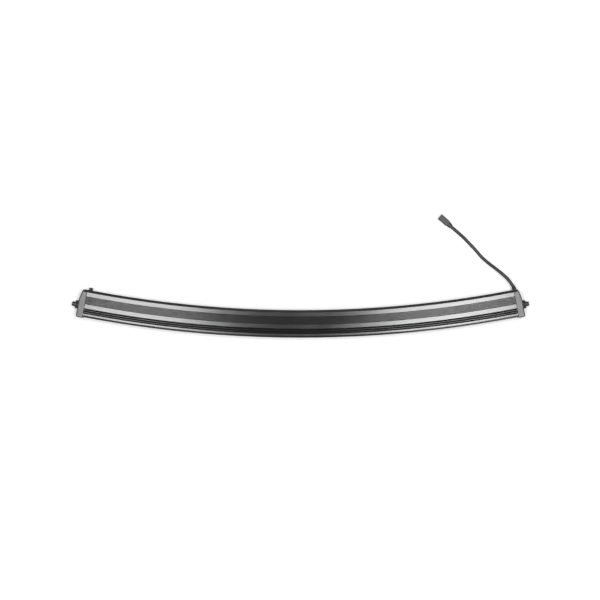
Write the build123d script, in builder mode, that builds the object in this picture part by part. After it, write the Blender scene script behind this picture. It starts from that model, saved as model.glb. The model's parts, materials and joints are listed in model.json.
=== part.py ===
"""Curved single-row LED light bar with side mounting bolts, a rear breather and a sealed power lead.

Frame, in millimetres: +X runs along the bar, +Y points to the rear (the lens faces -Y) and +Z is up.
The origin lies on the underside at mid-length, on the flat land between the grooves and the serrations.
The bar is bent to an arc in plan, so its long pieces are sections revolved about the arc's vertical axis.
"""

import os
from math import cos, degrees, radians, sin, sqrt, tan

from build123d import *

os.makedirs("parts", exist_ok=True)

# ---------------------------------------------------------------- driving dimensions: the whole bar
front_radius = 3280.0  # arc radius of the bezel's front face
half_angle = 10.85  # from mid-length to the housing's end plane, degrees
bar_height = 50.0
bar_depth = 78.0
origin_depth = 31.0  # how far the origin lies behind the bezel's front face

# bezel and lens
bezel_depth = 10.0
bezel_height = 11.0
bezel_lip = 3.0  # thickness of the lip in front of the lens
bezel_bevel_depth = 5.2
bezel_bevel_height = 2.4
lens_thickness = 4.0
lens_overlap = 2.0  # lens edge held behind each bezel lip
lens_clearance = 0.3

# housing extrusion
rear_corner = 7.0  # 45-degree chamfer
chamber_wall = 11.5  # above and below the lamp chamber
web_thickness = 5.0
cavity_wall = 5.0  # above and below the driver cavity
rear_wall = 4.5
cavity_corner = 3.0
groove_count = 3
groove_pitch = 5.66
groove_width = 3.2
groove_depth = 5.6
groove_point = 3.0  # height of the V at each groove's foot
fin_chamfer = 0.9  # on both edges of each fin between the grooves
serration_count = 8
serration_pitch = 2.9
serration_crest = 0.8
serration_depth = 0.9
serration_recess = 0.6  # crests below the top and bottom faces
serration_start = 37.2

# lamps
module_count = 6
lamps_per_module = 8
module_gap = 0.4
lamp_margin_angle = 0.2  # left free at each end of the lamp row, degrees
reflector_clearance = 0.3
reflector_depth = 18.9
cup_depth = 18.0
cup_wall = 0.7
cup_throat_radius = 3.2
board_thickness = 1.6
board_clearance = 0.2  # behind the reflector
board_margin = 0.7  # above and below the board
pad_thickness = 0.5
emitter_side = 4.0
emitter_thickness = 0.8
emitter_dome_radius = 1.6
link_thickness = 0.6
link_width = 3.0
link_length = 9.0
link_offset = 10.0  # above and below mid-height

# small screws
small_screw_radius = 1.25
small_screw_head_radius = 2.4
small_screw_head_height = 1.6
small_screw_socket = 1.0  # radius over the corners of the hexagon socket
small_screw_socket_depth = 0.9
small_screw_clearance = 0.15
thread_clearance = 0.05
lamp_screw_sink = 2.2
lamp_screw_bite = 4.0  # length held in the web
bezel_screw_count = 15
bezel_screw_end_margin = 0.48  # from the housing's end plane, degrees
bezel_screw_inset = 7.4  # from the top and bottom faces
bezel_screw_sink = 2.0  # head seat behind the bezel's front face
bezel_screw_bite = 4.0  # length held in the housing

# drivers in the rear cavity
driver_angle = 4.4
driver_half_angle = 1.55
driver_board_height = 34.0
standoff_length = 6.0
standoff_radius = 2.8
seating_gap = 0.02  # flat parts on the gently curved boards and rear face
coil_radius = 8.0
coil_bore_radius = 3.2
coil_height = 9.0
capacitor_radius = 5.0
capacitor_height = 14.0
transistor_length = 10.0
transistor_width = 9.0
transistor_height = 4.4
terminal_length = 10.0
terminal_width = 12.0
terminal_height = 8.0
lead_radius = 1.2
lead_spacing = 3.4
led_lead_radius = 0.9
led_lead_angle = 0.6  # from the middle of each driver board, degrees

# end caps
cap_gasket_thickness = 1.0
cap_front_overhang = 2.5
cap_thickness = 19.5  # from the end plane to the outer face
cap_rear_thickness = 13.5
cap_taper_start = 49.0
cap_bevel = 3.0
cap_front_bevel = 2.0
pocket_thickness = 12.0  # how far the inner pocket reaches from the end plane
pocket_front = 42.0
pocket_back = 68.0
pocket_margin = 13.0  # below and above the pocket
cap_screw_radius = 2.0
cap_screw_head_radius = 3.6
cap_screw_head_height = 2.8
cap_screw_socket = 1.7
cap_screw_seat = 9.0  # underside of the head from the end plane
cap_screw_bite = 13.0  # length held in the housing
cap_screw_clearance = 0.2
channel_clearance = 0.1
channel_boss_radius = 4.4
front_channel_depth = 20.1
channel_inset = 8.0  # from the top and bottom faces

# side mounting bolts
bolt_depth = 31.7
bolt_radius = 4.0
bolt_length = 25.0
bolt_head_radius = 6.5
bolt_head_height = 8.0
bolt_head_rounding = 0.8
bolt_socket_radius = 3.46
bolt_socket_depth = 4.5
bolt_end_room = 1.0
bolt_bore_clearance = 0.05
rubber_washer_radius = 12.0
rubber_washer_thickness = 7.0
rubber_washer_rounding = 1.2
flat_washer_radius = 12.0
flat_washer_thickness = 2.0
lock_washer_radius = 7.4
lock_washer_thickness = 2.0
lock_washer_split = 1.2
washer_bore_clearance = 0.2

# cable entry, in the right cap
entry_offset = 5.5  # from the end plane
entry_boss_radius = 4.4
entry_boss_height = 1.0
entry_bore_radius = 3.4
boot_base_radius = 7.2
boot_tip_radius = 5.3
boot_length = 9.0
boot_lean = 22.0  # towards the middle of the bar, degrees
boot_stem_room = 0.05
gland_nut_radius = 4.3
gland_nut_thickness = 3.0

# power lead and its plug
cable_radius = 4.65
cable_first_run = 20.0  # straight out of the boot
cable_route = [  # x and y from the boot's tip, z from the underside
    (-26.8, 32.4, 22.8),
    (-46.3, 48.8, 17.2),
    (-67.4, 65.0, 10.0),
    (-87.9, 83.2, 4.65),
    (-104.8, 103.9, 4.65),
    (-121.8, 121.4, 4.65),
    (-138.9, 139.7, 4.65),
    (-158.4, 156.0, 8.25),
    (-174.5, 170.2, 8.25),
]
plug_width = 17.0
plug_height = 16.5
plug_length = 30.0
plug_rounding = 2.0
plug_wall = 1.8
plug_socket_depth = 17.0
backshell_length = 14.0
backshell_radius = 6.4
plug_lock_thickness = 3.0
plug_seal_thickness = 1.6
plug_pin_radius = 1.2
plug_pin_length = 20.0
plug_pin_spacing = 6.4

# breather, in the housing's rear face at the left end
breather_inset = 6.6  # from the end plane
breather_radius = 5.8
breather_base_height = 2.0
breather_knob_height = 5.5
breather_knob_radius = 5.2
breather_thread_radius = 3.0
breather_thread_length = 7.0
breather_bore_radius = 1.6
breather_seal_thickness = 0.8
breather_seal_radius = 4.9
membrane_radius = 2.6
membrane_thickness = 0.4
membrane_room = 0.3

# ---------------------------------------------------------------- derived sizes
mid_height = bar_height / 2
arc_centre = Vector(0, front_radius - origin_depth, 0)
arc_axis = Axis(arc_centre, (0, 0, 1))
lens_back = bezel_lip + lens_thickness
lens_margin = bezel_height - lens_overlap
reflector_front = bezel_depth + reflector_clearance
reflector_back = reflector_front + reflector_depth
reflector_margin = chamber_wall + reflector_clearance
board_front = reflector_back + board_clearance
board_back = board_front + board_thickness
web_front = board_back + pad_thickness
web_back = web_front + web_thickness
cavity_back = bar_depth - rear_wall
board_edge = chamber_wall + board_margin
module_angle = 2 * (half_angle - lamp_margin_angle) / module_count
module_gap_angle = degrees(module_gap / front_radius)
lamp_angle = module_angle / lamps_per_module
lamp_pitch = radians(lamp_angle) * (front_radius - reflector_front)
cup_mouth_radius = min(lamp_pitch, bar_height - 2 * reflector_margin) / 2 - cup_wall
lamp_screw_offset = mid_height - reflector_margin - small_screw_head_radius - cup_wall
driver_board_front = web_back + standoff_length
driver_board_back = driver_board_front + board_thickness
lead_depth = driver_board_back + terminal_height / 2
rear_channel_depth = cavity_back - channel_boss_radius
channel_radius = cap_screw_radius + channel_clearance
channel_heights = (channel_inset, bar_height - channel_inset)
channels = [
    (depth, height) for depth in (front_channel_depth, rear_channel_depth) for height in channel_heights
]
breather_angle = -half_angle + degrees(breather_inset / (front_radius - bar_depth))
flat_washer_reach = cap_thickness + rubber_washer_thickness
lock_washer_reach = flat_washer_reach + flat_washer_thickness
bolt_head_reach = lock_washer_reach + lock_washer_thickness


# ---------------------------------------------------------------- places on the arc
def station(angle, depth=0.0, height=0.0):
    """Level plane on the arc: local x runs along the bar to the right and local y to the rear."""
    turn = radians(angle)
    reach = front_radius - depth
    origin = arc_centre + Vector(reach * sin(turn), -reach * cos(turn), height)
    return Plane(origin=origin, x_dir=(cos(turn), sin(turn), 0), z_dir=(0, 0, 1))


def section(angle):
    """Plane across the bar: local x is depth behind the bezel's front face and local y is height."""
    level = station(angle)
    return Plane(origin=level.origin, x_dir=level.y_dir, z_dir=level.x_dir)


def outward(reach, depth=0.0, height=0.0):
    """Plane at the right end, reach beyond the end plane: local x is depth and local y is height."""
    level = station(half_angle, depth, height)
    return Plane(origin=level.origin + level.x_dir * reach, x_dir=level.y_dir, z_dir=level.x_dir)


def frontward(angle, depth, height):
    """Plane across the depth whose normal points forward."""
    level = station(angle, depth, height)
    return Plane(origin=level.origin, x_dir=level.x_dir, z_dir=-level.y_dir)


def rearward(angle, depth, height):
    """Plane across the depth whose normal points to the rear."""
    level = station(angle, depth, height)
    return Plane(origin=level.origin, x_dir=-level.x_dir, z_dir=level.y_dir)


def block(front, back, low, high, mode=Mode.ADD):
    """Rectangle of a section, between two depths and two heights."""
    with Locations(((front + back) / 2, (low + high) / 2)):
        Rectangle(back - front, high - low, mode=mode)


def cut_both(*outline):
    """Cut a profile into the bottom face and, mirrored, into the top face; heights go into the housing."""
    Polygon(*outline, align=None, mode=Mode.SUBTRACT)
    Polygon(*[(depth, bar_height - height) for depth, height in outline], align=None, mode=Mode.SUBTRACT)


def export(piece, name):
    """Label a finished piece and write its STEP file."""
    piece.part.label = name
    export_step(piece.part, f"parts/{name}.step")


def export_pair(piece, name):
    """Write a right-end piece and its mirror image at the left end."""
    export(piece, f"right_{name}")
    with BuildPart() as opposite:
        add(mirror(piece.part, about=Plane.YZ, mode=Mode.PRIVATE))
    export(opposite, f"left_{name}")


bezel_screw_span = half_angle - bezel_screw_end_margin
bezel_screw_angles = [
    bezel_screw_span * (2 * index / (bezel_screw_count - 1) - 1) for index in range(bezel_screw_count)
]
module_starts = [-half_angle + lamp_margin_angle + index * module_angle for index in range(module_count)]
module_screw_angles = [
    start + lamp_angle * share for start in module_starts for share in (2, lamps_per_module - 2)
]
lamp_screw_heights = (mid_height - lamp_screw_offset, mid_height + lamp_screw_offset)
led_lead_places = [
    (side * (driver_angle + led_lead_angle), mid_height + shift)
    for side in (-1, 1)
    for shift in (-lead_spacing / 2, lead_spacing / 2)
]

# ---------------------------------------------------------------- housing: one bent extrusion
with BuildPart() as housing:
    with BuildSketch(section(-half_angle)) as housing_profile:
        block(bezel_depth, bar_depth, 0, bar_height)
        chamfer(housing_profile.vertices().group_by(Axis.X)[-1], rear_corner)
        for index in range(groove_count):
            groove_start = bezel_depth + index * groove_pitch
            groove_end = groove_start + groove_width
            cut_both(
                (groove_start - fin_chamfer, 0),
                (groove_start, fin_chamfer),
                (groove_start, groove_depth - groove_point),
                ((groove_start + groove_end) / 2, groove_depth),
                (groove_end, groove_depth - groove_point),
                (groove_end, fin_chamfer),
                (groove_end + fin_chamfer, 0),
            )
        serrations_end = serration_start + serration_count * serration_pitch - serration_crest
        cut_both(
            (serration_start, 0),
            (serration_start, serration_recess),
            (serrations_end, serration_recess),
            (serrations_end, 0),
        )
        for index in range(serration_count):
            left = serration_start + index * serration_pitch
            right = left + serration_pitch - serration_crest
            valley = serration_recess + serration_depth
            cut_both((left, serration_recess), ((left + right) / 2, valley), (right, serration_recess))
        block(bezel_depth, web_front, chamber_wall, bar_height - chamber_wall, Mode.SUBTRACT)
        with Locations(((web_back + cavity_back) / 2, mid_height)):
            RectangleRounded(
                cavity_back - web_back, bar_height - 2 * cavity_wall, cavity_corner, mode=Mode.SUBTRACT
            )
        with Locations(*[(rear_channel_depth, height) for height in channel_heights]):
            Circle(channel_boss_radius)
        with Locations(*channels):
            Circle(channel_radius, mode=Mode.SUBTRACT)
    revolve(axis=arc_axis, revolution_arc=2 * half_angle)
    with Locations(*[
        frontward(angle, bezel_depth, height)
        for angle in bezel_screw_angles
        for height in (bezel_screw_inset, bar_height - bezel_screw_inset)
    ]):
        Hole(small_screw_radius + thread_clearance, depth=bezel_screw_bite + 0.5)
    with Locations(*[
        frontward(angle, web_front, height) for angle in module_screw_angles for height in lamp_screw_heights
    ]):
        Hole(small_screw_radius + thread_clearance, depth=lamp_screw_bite + 0.4)
    with Locations(*[frontward(angle, web_front, height) for angle, height in led_lead_places]):
        Hole(led_lead_radius + 0.4, depth=web_thickness + 1)
    with Locations(rearward(breather_angle, bar_depth, mid_height)):
        Hole(breather_thread_radius + thread_clearance, depth=rear_wall + 1)
export(housing, "housing")

# ---------------------------------------------------------------- bezels: one strip above and one below the lens
bezel_outline = [
    (0, bezel_height),
    (0, bezel_bevel_height),
    (bezel_bevel_depth, 0),
    (bezel_depth, 0),
    (bezel_depth, lens_margin - lens_clearance),
    (bezel_lip, lens_margin - lens_clearance),
    (bezel_lip, bezel_height),
]
with BuildPart() as bottom_bezel:
    with BuildSketch(section(-half_angle)):
        Polygon(*bezel_outline, align=None)
    revolve(axis=arc_axis, revolution_arc=2 * half_angle)
    with Locations(*[frontward(angle, 0, bezel_screw_inset) for angle in bezel_screw_angles]):
        CounterBoreHole(
            small_screw_radius + small_screw_clearance,
            small_screw_head_radius + small_screw_clearance,
            bezel_screw_sink,
            depth=bezel_depth + 1,
        )
export(bottom_bezel, "bottom_bezel")

with BuildPart() as top_bezel:
    add(mirror(bottom_bezel.part, about=Plane.XY.offset(mid_height), mode=Mode.PRIVATE))
export(top_bezel, "top_bezel")

with BuildPart() as bezel_screw:
    with BuildSketch(Plane.XY):
        Circle(small_screw_radius)
    extrude(amount=bezel_screw_sink - bezel_depth - bezel_screw_bite)
    with BuildSketch(Plane.XY):
        Circle(small_screw_head_radius)
    extrude(amount=small_screw_head_height)
    with BuildSketch(Plane.XY.offset(small_screw_head_height)):
        RegularPolygon(small_screw_socket, 6)
    extrude(amount=-small_screw_socket_depth, mode=Mode.SUBTRACT)

with BuildPart() as bezel_screws:
    with Locations(*[
        frontward(angle, bezel_screw_sink, height)
        for angle in bezel_screw_angles
        for height in (bezel_screw_inset, bar_height - bezel_screw_inset)
    ]):
        add(bezel_screw.part)
export(bezel_screws, "bezel_screws")

# ---------------------------------------------------------------- lens and its gasket
with BuildPart() as lens:
    with BuildSketch(section(-half_angle)):
        block(bezel_lip, lens_back, lens_margin, bar_height - lens_margin)
    revolve(axis=arc_axis, revolution_arc=2 * half_angle)
export(lens, "lens")

gasket_end_angle = degrees((chamber_wall - lens_margin) / front_radius)
with BuildPart() as lens_gasket:
    with BuildSketch(section(-half_angle)):
        block(lens_back, bezel_depth, lens_margin, bar_height - lens_margin)
    revolve(axis=arc_axis, revolution_arc=2 * half_angle)
    with BuildSketch(section(gasket_end_angle - half_angle)):
        block(lens_back, bezel_depth, chamber_wall, bar_height - chamber_wall)
    revolve(axis=arc_axis, revolution_arc=2 * (half_angle - gasket_end_angle), mode=Mode.SUBTRACT)
export(lens_gasket, "lens_gasket")

# ---------------------------------------------------------------- lamp modules
# The wall is an arc through three points of the parabola that joins the throat to the mouth.
throat_length = reflector_depth - cup_depth + 1  # past the reflector's back
cup_middle_radius = sqrt((cup_throat_radius**2 + cup_mouth_radius**2) / 2)
with BuildPart() as cup:
    with BuildSketch(Plane.XZ):
        with BuildLine():
            throat = Polyline(
                (0, 0), (0, -throat_length), (cup_throat_radius, -throat_length), (cup_throat_radius, 0)
            )
            wall = ThreePointArc(throat @ 1, (cup_middle_radius, cup_depth / 2), (cup_mouth_radius, cup_depth))
            Polyline(wall @ 1, (cup_mouth_radius, cup_depth + 1), (0, cup_depth + 1), (0, 0))
        make_face()
    revolve(axis=Axis.Z)

first_start = module_starts[0] + module_gap_angle / 2
module_sweep = module_angle - module_gap_angle
notch_angle = degrees((link_length / 2 + 1) / front_radius)
link_places = (mid_height - link_offset, mid_height + link_offset)
with BuildPart() as reflector_module:
    with BuildSketch(section(first_start)):
        block(reflector_front, reflector_back, reflector_margin, bar_height - reflector_margin)
    revolve(axis=arc_axis, revolution_arc=module_sweep)
    with Locations(*[
        frontward(module_starts[0] + lamp_angle * (lamp + 0.5), reflector_front + cup_depth, mid_height)
        for lamp in range(lamps_per_module)
    ]):
        add(cup.part, mode=Mode.SUBTRACT)
    with Locations(*[
        frontward(angle, reflector_front, height)
        for angle in module_screw_angles[:2]
        for height in lamp_screw_heights
    ]):
        CounterBoreHole(
            small_screw_radius + small_screw_clearance,
            small_screw_head_radius + small_screw_clearance,
            lamp_screw_sink,
            depth=reflector_depth + 1,
        )
    for notch_start in (first_start, first_start + module_sweep - notch_angle):
        with BuildSketch(section(notch_start)):
            for height in link_places:
                block(
                    reflector_back - link_thickness - 0.3, reflector_back,
                    height - link_width / 2 - 0.5, height + link_width / 2 + 0.5,
                )
        revolve(axis=arc_axis, revolution_arc=notch_angle, mode=Mode.SUBTRACT)

with BuildPart() as board_module:
    with BuildSketch(section(first_start)):
        block(board_front, board_back, board_edge, bar_height - board_edge)
    revolve(axis=arc_axis, revolution_arc=module_sweep)
    with Locations(*[
        frontward(angle, board_front, height)
        for angle in module_screw_angles[:2]
        for height in lamp_screw_heights
    ]):
        Hole(small_screw_radius + small_screw_clearance, depth=board_thickness + 1)

for index in range(module_count):
    with BuildPart() as reflector:
        add(reflector_module.part.rotate(arc_axis, index * module_angle))
    export(reflector, f"reflector_{index + 1}")
    with BuildPart() as led_board:
        add(board_module.part.rotate(arc_axis, index * module_angle))
    export(led_board, f"led_board_{index + 1}")

with BuildPart() as thermal_pads:
    for start in module_starts:
        with BuildSketch(section(start + module_gap_angle / 2)):
            block(board_back, web_front, board_edge, bar_height - board_edge)
        revolve(axis=arc_axis, revolution_arc=module_sweep)
    with Locations(*[
        frontward(angle, board_back, height) for angle in module_screw_angles for height in lamp_screw_heights
    ]):
        Hole(small_screw_radius + small_screw_clearance, depth=pad_thickness + 0.5)
    with Locations(*[frontward(angle, board_back, height) for angle, height in led_lead_places]):
        Hole(led_lead_radius + 0.4, depth=pad_thickness + 0.5)
export(thermal_pads, "thermal_pads")

with BuildPart() as emitter:
    with BuildSketch(Plane.XY):
        Rectangle(emitter_side, emitter_side)
    extrude(amount=emitter_thickness)
    with BuildSketch(Plane.XZ):
        with BuildLine():
            Line((0, emitter_thickness), (emitter_dome_radius, emitter_thickness))
            dome = CenterArc((0, emitter_thickness), emitter_dome_radius, 0, 90)
            Line(dome @ 1, (0, emitter_thickness))
        make_face()
    revolve(axis=Axis.Z)

with BuildPart() as led_emitters:
    with Locations(*[
        frontward(start + lamp_angle * (lamp + 0.5), board_front, mid_height)
        for start in module_starts
        for lamp in range(lamps_per_module)
    ]):
        add(emitter.part)
export(led_emitters, "led_emitters")

lamp_screw_length = web_front + lamp_screw_bite - reflector_front - lamp_screw_sink
with BuildPart() as lamp_screw:
    with BuildSketch(Plane.XY):
        Circle(small_screw_radius)
    extrude(amount=-lamp_screw_length)
    with BuildSketch(Plane.XY):
        Circle(small_screw_head_radius)
    extrude(amount=small_screw_head_height)
    with BuildSketch(Plane.XY.offset(small_screw_head_height)):
        RegularPolygon(small_screw_socket, 6)
    extrude(amount=-small_screw_socket_depth, mode=Mode.SUBTRACT)

with BuildPart() as reflector_screws:
    with Locations(*[
        frontward(angle, reflector_front + lamp_screw_sink, height)
        for angle in module_screw_angles
        for height in lamp_screw_heights
    ]):
        add(lamp_screw.part)
export(reflector_screws, "reflector_screws")

link_angle = degrees(link_length / front_radius)
with BuildPart() as board_links:
    for start in module_starts[1:]:
        with BuildSketch(section(start - link_angle / 2)):
            for height in link_places:
                block(board_front - link_thickness, board_front, height - link_width / 2, height + link_width / 2)
        revolve(axis=arc_axis, revolution_arc=link_angle)
export(board_links, "board_links")

# ---------------------------------------------------------------- drivers on standoffs in the rear cavity
board_low = mid_height - driver_board_height / 2
board_high = mid_height + driver_board_height / 2
standoff_places = [
    (side * (driver_angle + shift * (driver_half_angle - 0.12)), mid_height + rise * (driver_board_height / 2 - 5))
    for side in (-1, 1)
    for shift in (-1, 1)
    for rise in (-1, 1)
]
with BuildPart() as driver_board:
    with BuildSketch(section(driver_angle - driver_half_angle)):
        block(driver_board_front, driver_board_back, board_low, board_high)
    revolve(axis=arc_axis, revolution_arc=2 * driver_half_angle)
    with Locations(*[rearward(angle, driver_board_back, height) for angle, height in standoff_places]):
        Hole(cap_screw_radius - 0.4, depth=board_thickness + 1)
export_pair(driver_board, "driver_board")

with BuildPart() as driver_standoffs:
    with Locations(*[rearward(angle, web_back + seating_gap, height) for angle, height in standoff_places]):
        Cylinder(
            standoff_radius, standoff_length - seating_gap, align=(Align.CENTER, Align.CENTER, Align.MIN)
        )
    with Locations(*[rearward(angle, driver_board_front, height) for angle, height in standoff_places]):
        Hole(small_screw_radius + thread_clearance, depth=standoff_length - 1.5)
export(driver_standoffs, "driver_standoffs")

with BuildPart() as driver_screws:
    with Locations(*[rearward(angle, driver_board_back + seating_gap, height) for angle, height in standoff_places]):
        Cylinder(
            small_screw_radius, standoff_length - 2, align=(Align.CENTER, Align.CENTER, Align.MAX)
        )
        Cylinder(
            small_screw_head_radius, small_screw_head_height, align=(Align.CENTER, Align.CENTER, Align.MIN)
        )
export(driver_screws, "driver_screws")

component_base = driver_board_back + seating_gap
coil_places = [
    rearward(side * (driver_angle + shift), component_base, mid_height) for side in (-1, 1) for shift in (-0.25, 0.25)
]
with BuildPart() as driver_coils:
    with Locations(*coil_places):
        Cylinder(coil_radius, coil_height, align=(Align.CENTER, Align.CENTER, Align.MIN))
        Cylinder(
            coil_bore_radius, coil_height, align=(Align.CENTER, Align.CENTER, Align.MIN), mode=Mode.SUBTRACT
        )
    fillet(driver_coils.edges().filter_by(GeomType.CIRCLE), 1.2)
export(driver_coils, "driver_coils")

capacitor_places = [
    rearward(side * (driver_angle + shift), component_base, mid_height + rise)
    for side in (-1, 1)
    for shift in (-0.72, 0.72)
    for rise in (-6.5, 6.5)
]
with BuildPart() as driver_capacitors:
    with Locations(*capacitor_places):
        Cylinder(capacitor_radius, capacitor_height, align=(Align.CENTER, Align.CENTER, Align.MIN))
    fillet(driver_capacitors.edges().filter_by(GeomType.CIRCLE), 0.8)
export(driver_capacitors, "driver_capacitors")

transistor_places = [
    rearward(side * (driver_angle + shift), component_base, mid_height + rise)
    for side in (-1, 1)
    for shift in (-1.05, 1.05)
    for rise in (-9, 9)
]
with BuildPart() as driver_transistors:
    with Locations(*transistor_places):
        Box(
            transistor_length, transistor_width, transistor_height,
            align=(Align.CENTER, Align.CENTER, Align.MIN),
        )
export(driver_transistors, "driver_transistors")

# One terminal block at each end of each board; the leads meet their end faces.
terminal_inset = degrees(terminal_length / (front_radius - driver_board_back))
terminal_starts = [
    driver_angle - driver_half_angle,
    driver_angle + driver_half_angle - terminal_inset,
    -driver_angle - driver_half_angle,
    -driver_angle + driver_half_angle - terminal_inset,
]
with BuildPart() as driver_terminals:
    for start in terminal_starts:
        with BuildSketch(section(start)):
            block(
                driver_board_back, driver_board_back + terminal_height,
                mid_height - terminal_width / 2, mid_height + terminal_width / 2,
            )
        revolve(axis=arc_axis, revolution_arc=terminal_inset)
export(driver_terminals, "driver_terminals")

lead_heights = (mid_height - lead_spacing / 2, mid_height + lead_spacing / 2)
with BuildPart() as link_leads:
    with BuildSketch(section(driver_half_angle - driver_angle)):
        with Locations(*[(lead_depth, height) for height in lead_heights]):
            Circle(lead_radius)
    revolve(axis=arc_axis, revolution_arc=2 * (driver_angle - driver_half_angle))
export(link_leads, "link_leads")

with BuildPart() as led_leads:
    with Locations(*[rearward(angle, board_back + seating_gap, height) for angle, height in led_lead_places]):
        Cylinder(
            led_lead_radius, driver_board_front - board_back - seating_gap,
            align=(Align.CENTER, Align.CENTER, Align.MIN),
        )
export(led_leads, "led_leads")

# ---------------------------------------------------------------- end caps, their gaskets and screws
cap_plan = [
    (cap_gasket_thickness, -cap_front_overhang),
    (cap_thickness, -cap_front_overhang),
    (cap_thickness, cap_taper_start),
    (cap_rear_thickness, bar_depth),
    (cap_gasket_thickness, bar_depth),
]
along_bolt = outward(0).z_dir
with BuildPart() as end_cap:
    with BuildSketch(station(half_angle)):
        Polygon(*cap_plan, align=None)
    extrude(amount=bar_height)
    with BuildSketch(outward(0)) as cap_outline:
        block(-cap_front_overhang, bar_depth, 0, bar_height)
        chamfer(cap_outline.vertices().group_by(Axis.X)[-1], rear_corner)
        chamfer(cap_outline.vertices().group_by(Axis.X)[0], cap_front_bevel)
    extrude(amount=cap_thickness + 1, mode=Mode.INTERSECT)
    outer_faces = end_cap.faces().filter_by(lambda face: face.normal_at().dot(along_bolt) > 0.5)
    outer_edges = outer_faces.edges().filter_by(GeomType.LINE)
    rim = [edge for edge in outer_edges if sum(edge.is_same(other) for other in outer_edges) == 1]
    chamfer(rim, cap_bevel)
    with BuildSketch(outward(cap_gasket_thickness)):
        with Locations(((pocket_front + pocket_back) / 2, mid_height)):
            RectangleRounded(pocket_back - pocket_front, bar_height - 2 * pocket_margin, cavity_corner)
    extrude(amount=pocket_thickness - cap_gasket_thickness, mode=Mode.SUBTRACT)
    with Locations(*[outward(cap_thickness, depth, height) for depth, height in channels]):
        CounterBoreHole(
            cap_screw_radius + cap_screw_clearance,
            cap_screw_head_radius + cap_screw_clearance,
            cap_thickness - cap_screw_seat,
            depth=cap_thickness,
        )
    with Locations(outward(cap_thickness, bolt_depth, mid_height)):
        Hole(
            bolt_radius + bolt_bore_clearance,
            depth=cap_thickness - bolt_head_reach + bolt_length + bolt_end_room,
        )

with BuildPart() as left_end_cap:
    add(mirror(end_cap.part, about=Plane.YZ, mode=Mode.PRIVATE))
export(left_end_cap, "left_end_cap")

# The cable enters through a low boss on the right cap's rear face.
right_end = station(half_angle, bar_depth, mid_height)
entry = Plane(
    origin=right_end.origin + right_end.x_dir * entry_offset, x_dir=-right_end.x_dir, z_dir=right_end.y_dir
)
with BuildPart() as right_end_cap:
    add(end_cap.part)
    with BuildSketch(entry.offset(-1)):
        Circle(entry_boss_radius)
    extrude(amount=entry_boss_height + 1)
    with Locations(entry.offset(entry_boss_height)):
        Hole(entry_bore_radius, depth=entry_boss_height + bar_depth - pocket_back + 1)
export(right_end_cap, "right_end_cap")

with BuildPart() as cap_gasket:
    with BuildSketch(outward(0)) as gasket_outline:
        block(0, bar_depth, 0, bar_height)
        chamfer(gasket_outline.vertices().group_by(Axis.X)[-1], rear_corner)
        block(
            bezel_depth + 2, web_front - 2, chamber_wall + 1, bar_height - chamber_wall - 1, Mode.SUBTRACT
        )
        with Locations(((pocket_front + pocket_back) / 2, mid_height)):
            RectangleRounded(
                pocket_back - pocket_front, bar_height - 2 * pocket_margin, cavity_corner, mode=Mode.SUBTRACT
            )
        with Locations(*channels):
            Circle(cap_screw_radius + cap_screw_clearance, mode=Mode.SUBTRACT)
    extrude(amount=cap_gasket_thickness)
export_pair(cap_gasket, "cap_gasket")

with BuildPart() as right_cap_screws:
    for depth, height in channels:
        with BuildSketch(outward(cap_screw_seat, depth, height)):
            Circle(cap_screw_radius)
        extrude(amount=-cap_screw_seat - cap_screw_bite)
        with BuildSketch(outward(cap_screw_seat, depth, height)):
            Circle(cap_screw_head_radius)
        extrude(amount=cap_screw_head_height)
        with BuildSketch(outward(cap_screw_seat + cap_screw_head_height, depth, height)):
            RegularPolygon(cap_screw_socket, 6)
        extrude(amount=-cap_screw_head_height + 1, mode=Mode.SUBTRACT)
with BuildPart() as cap_screws:
    add(right_cap_screws.part)
    add(mirror(right_cap_screws.part, about=Plane.YZ, mode=Mode.PRIVATE))
export(cap_screws, "cap_screws")

# ---------------------------------------------------------------- side mounting bolts and their washers
with BuildPart() as mount_bolt:
    with BuildSketch(outward(bolt_head_reach, bolt_depth, mid_height)):
        Circle(bolt_radius)
    extrude(amount=-bolt_length)
    chamfer(mount_bolt.faces().sort_by(Axis(arc_centre, along_bolt))[0].edges(), 0.6)
    with BuildSketch(outward(bolt_head_reach, bolt_depth, mid_height)):
        Circle(bolt_head_radius)
    extrude(amount=bolt_head_height)
    fillet(mount_bolt.faces().sort_by(Axis(arc_centre, along_bolt))[-1].edges(), bolt_head_rounding)
    with BuildSketch(outward(bolt_head_reach + bolt_head_height, bolt_depth, mid_height)):
        RegularPolygon(bolt_socket_radius, 6)
    extrude(amount=-bolt_socket_depth, mode=Mode.SUBTRACT)
export_pair(mount_bolt, "mount_bolt")

washer_bore = bolt_radius + washer_bore_clearance
with BuildPart() as rubber_washer:
    with BuildSketch(outward(cap_thickness, bolt_depth, mid_height)):
        Circle(rubber_washer_radius)
        Circle(washer_bore, mode=Mode.SUBTRACT)
    extrude(amount=rubber_washer_thickness)
    fillet(
        rubber_washer.edges().filter_by(GeomType.CIRCLE).group_by(SortBy.RADIUS)[-1], rubber_washer_rounding
    )
export_pair(rubber_washer, "rubber_washer")

with BuildPart() as flat_washer:
    with BuildSketch(outward(flat_washer_reach, bolt_depth, mid_height)):
        Circle(flat_washer_radius)
        Circle(washer_bore, mode=Mode.SUBTRACT)
    extrude(amount=flat_washer_thickness)
    chamfer(flat_washer.edges().filter_by(GeomType.CIRCLE).group_by(SortBy.RADIUS)[-1], 0.3)
export_pair(flat_washer, "flat_washer")

with BuildPart() as lock_washer:
    with BuildSketch(outward(lock_washer_reach, bolt_depth, mid_height)):
        Circle(lock_washer_radius)
        Circle(washer_bore, mode=Mode.SUBTRACT)
        with Locations((0, lock_washer_radius)):
            Rectangle(lock_washer_split, 2 * (lock_washer_radius - washer_bore) + 2, mode=Mode.SUBTRACT)
    extrude(amount=lock_washer_thickness)
export_pair(lock_washer, "lock_washer")

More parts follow.
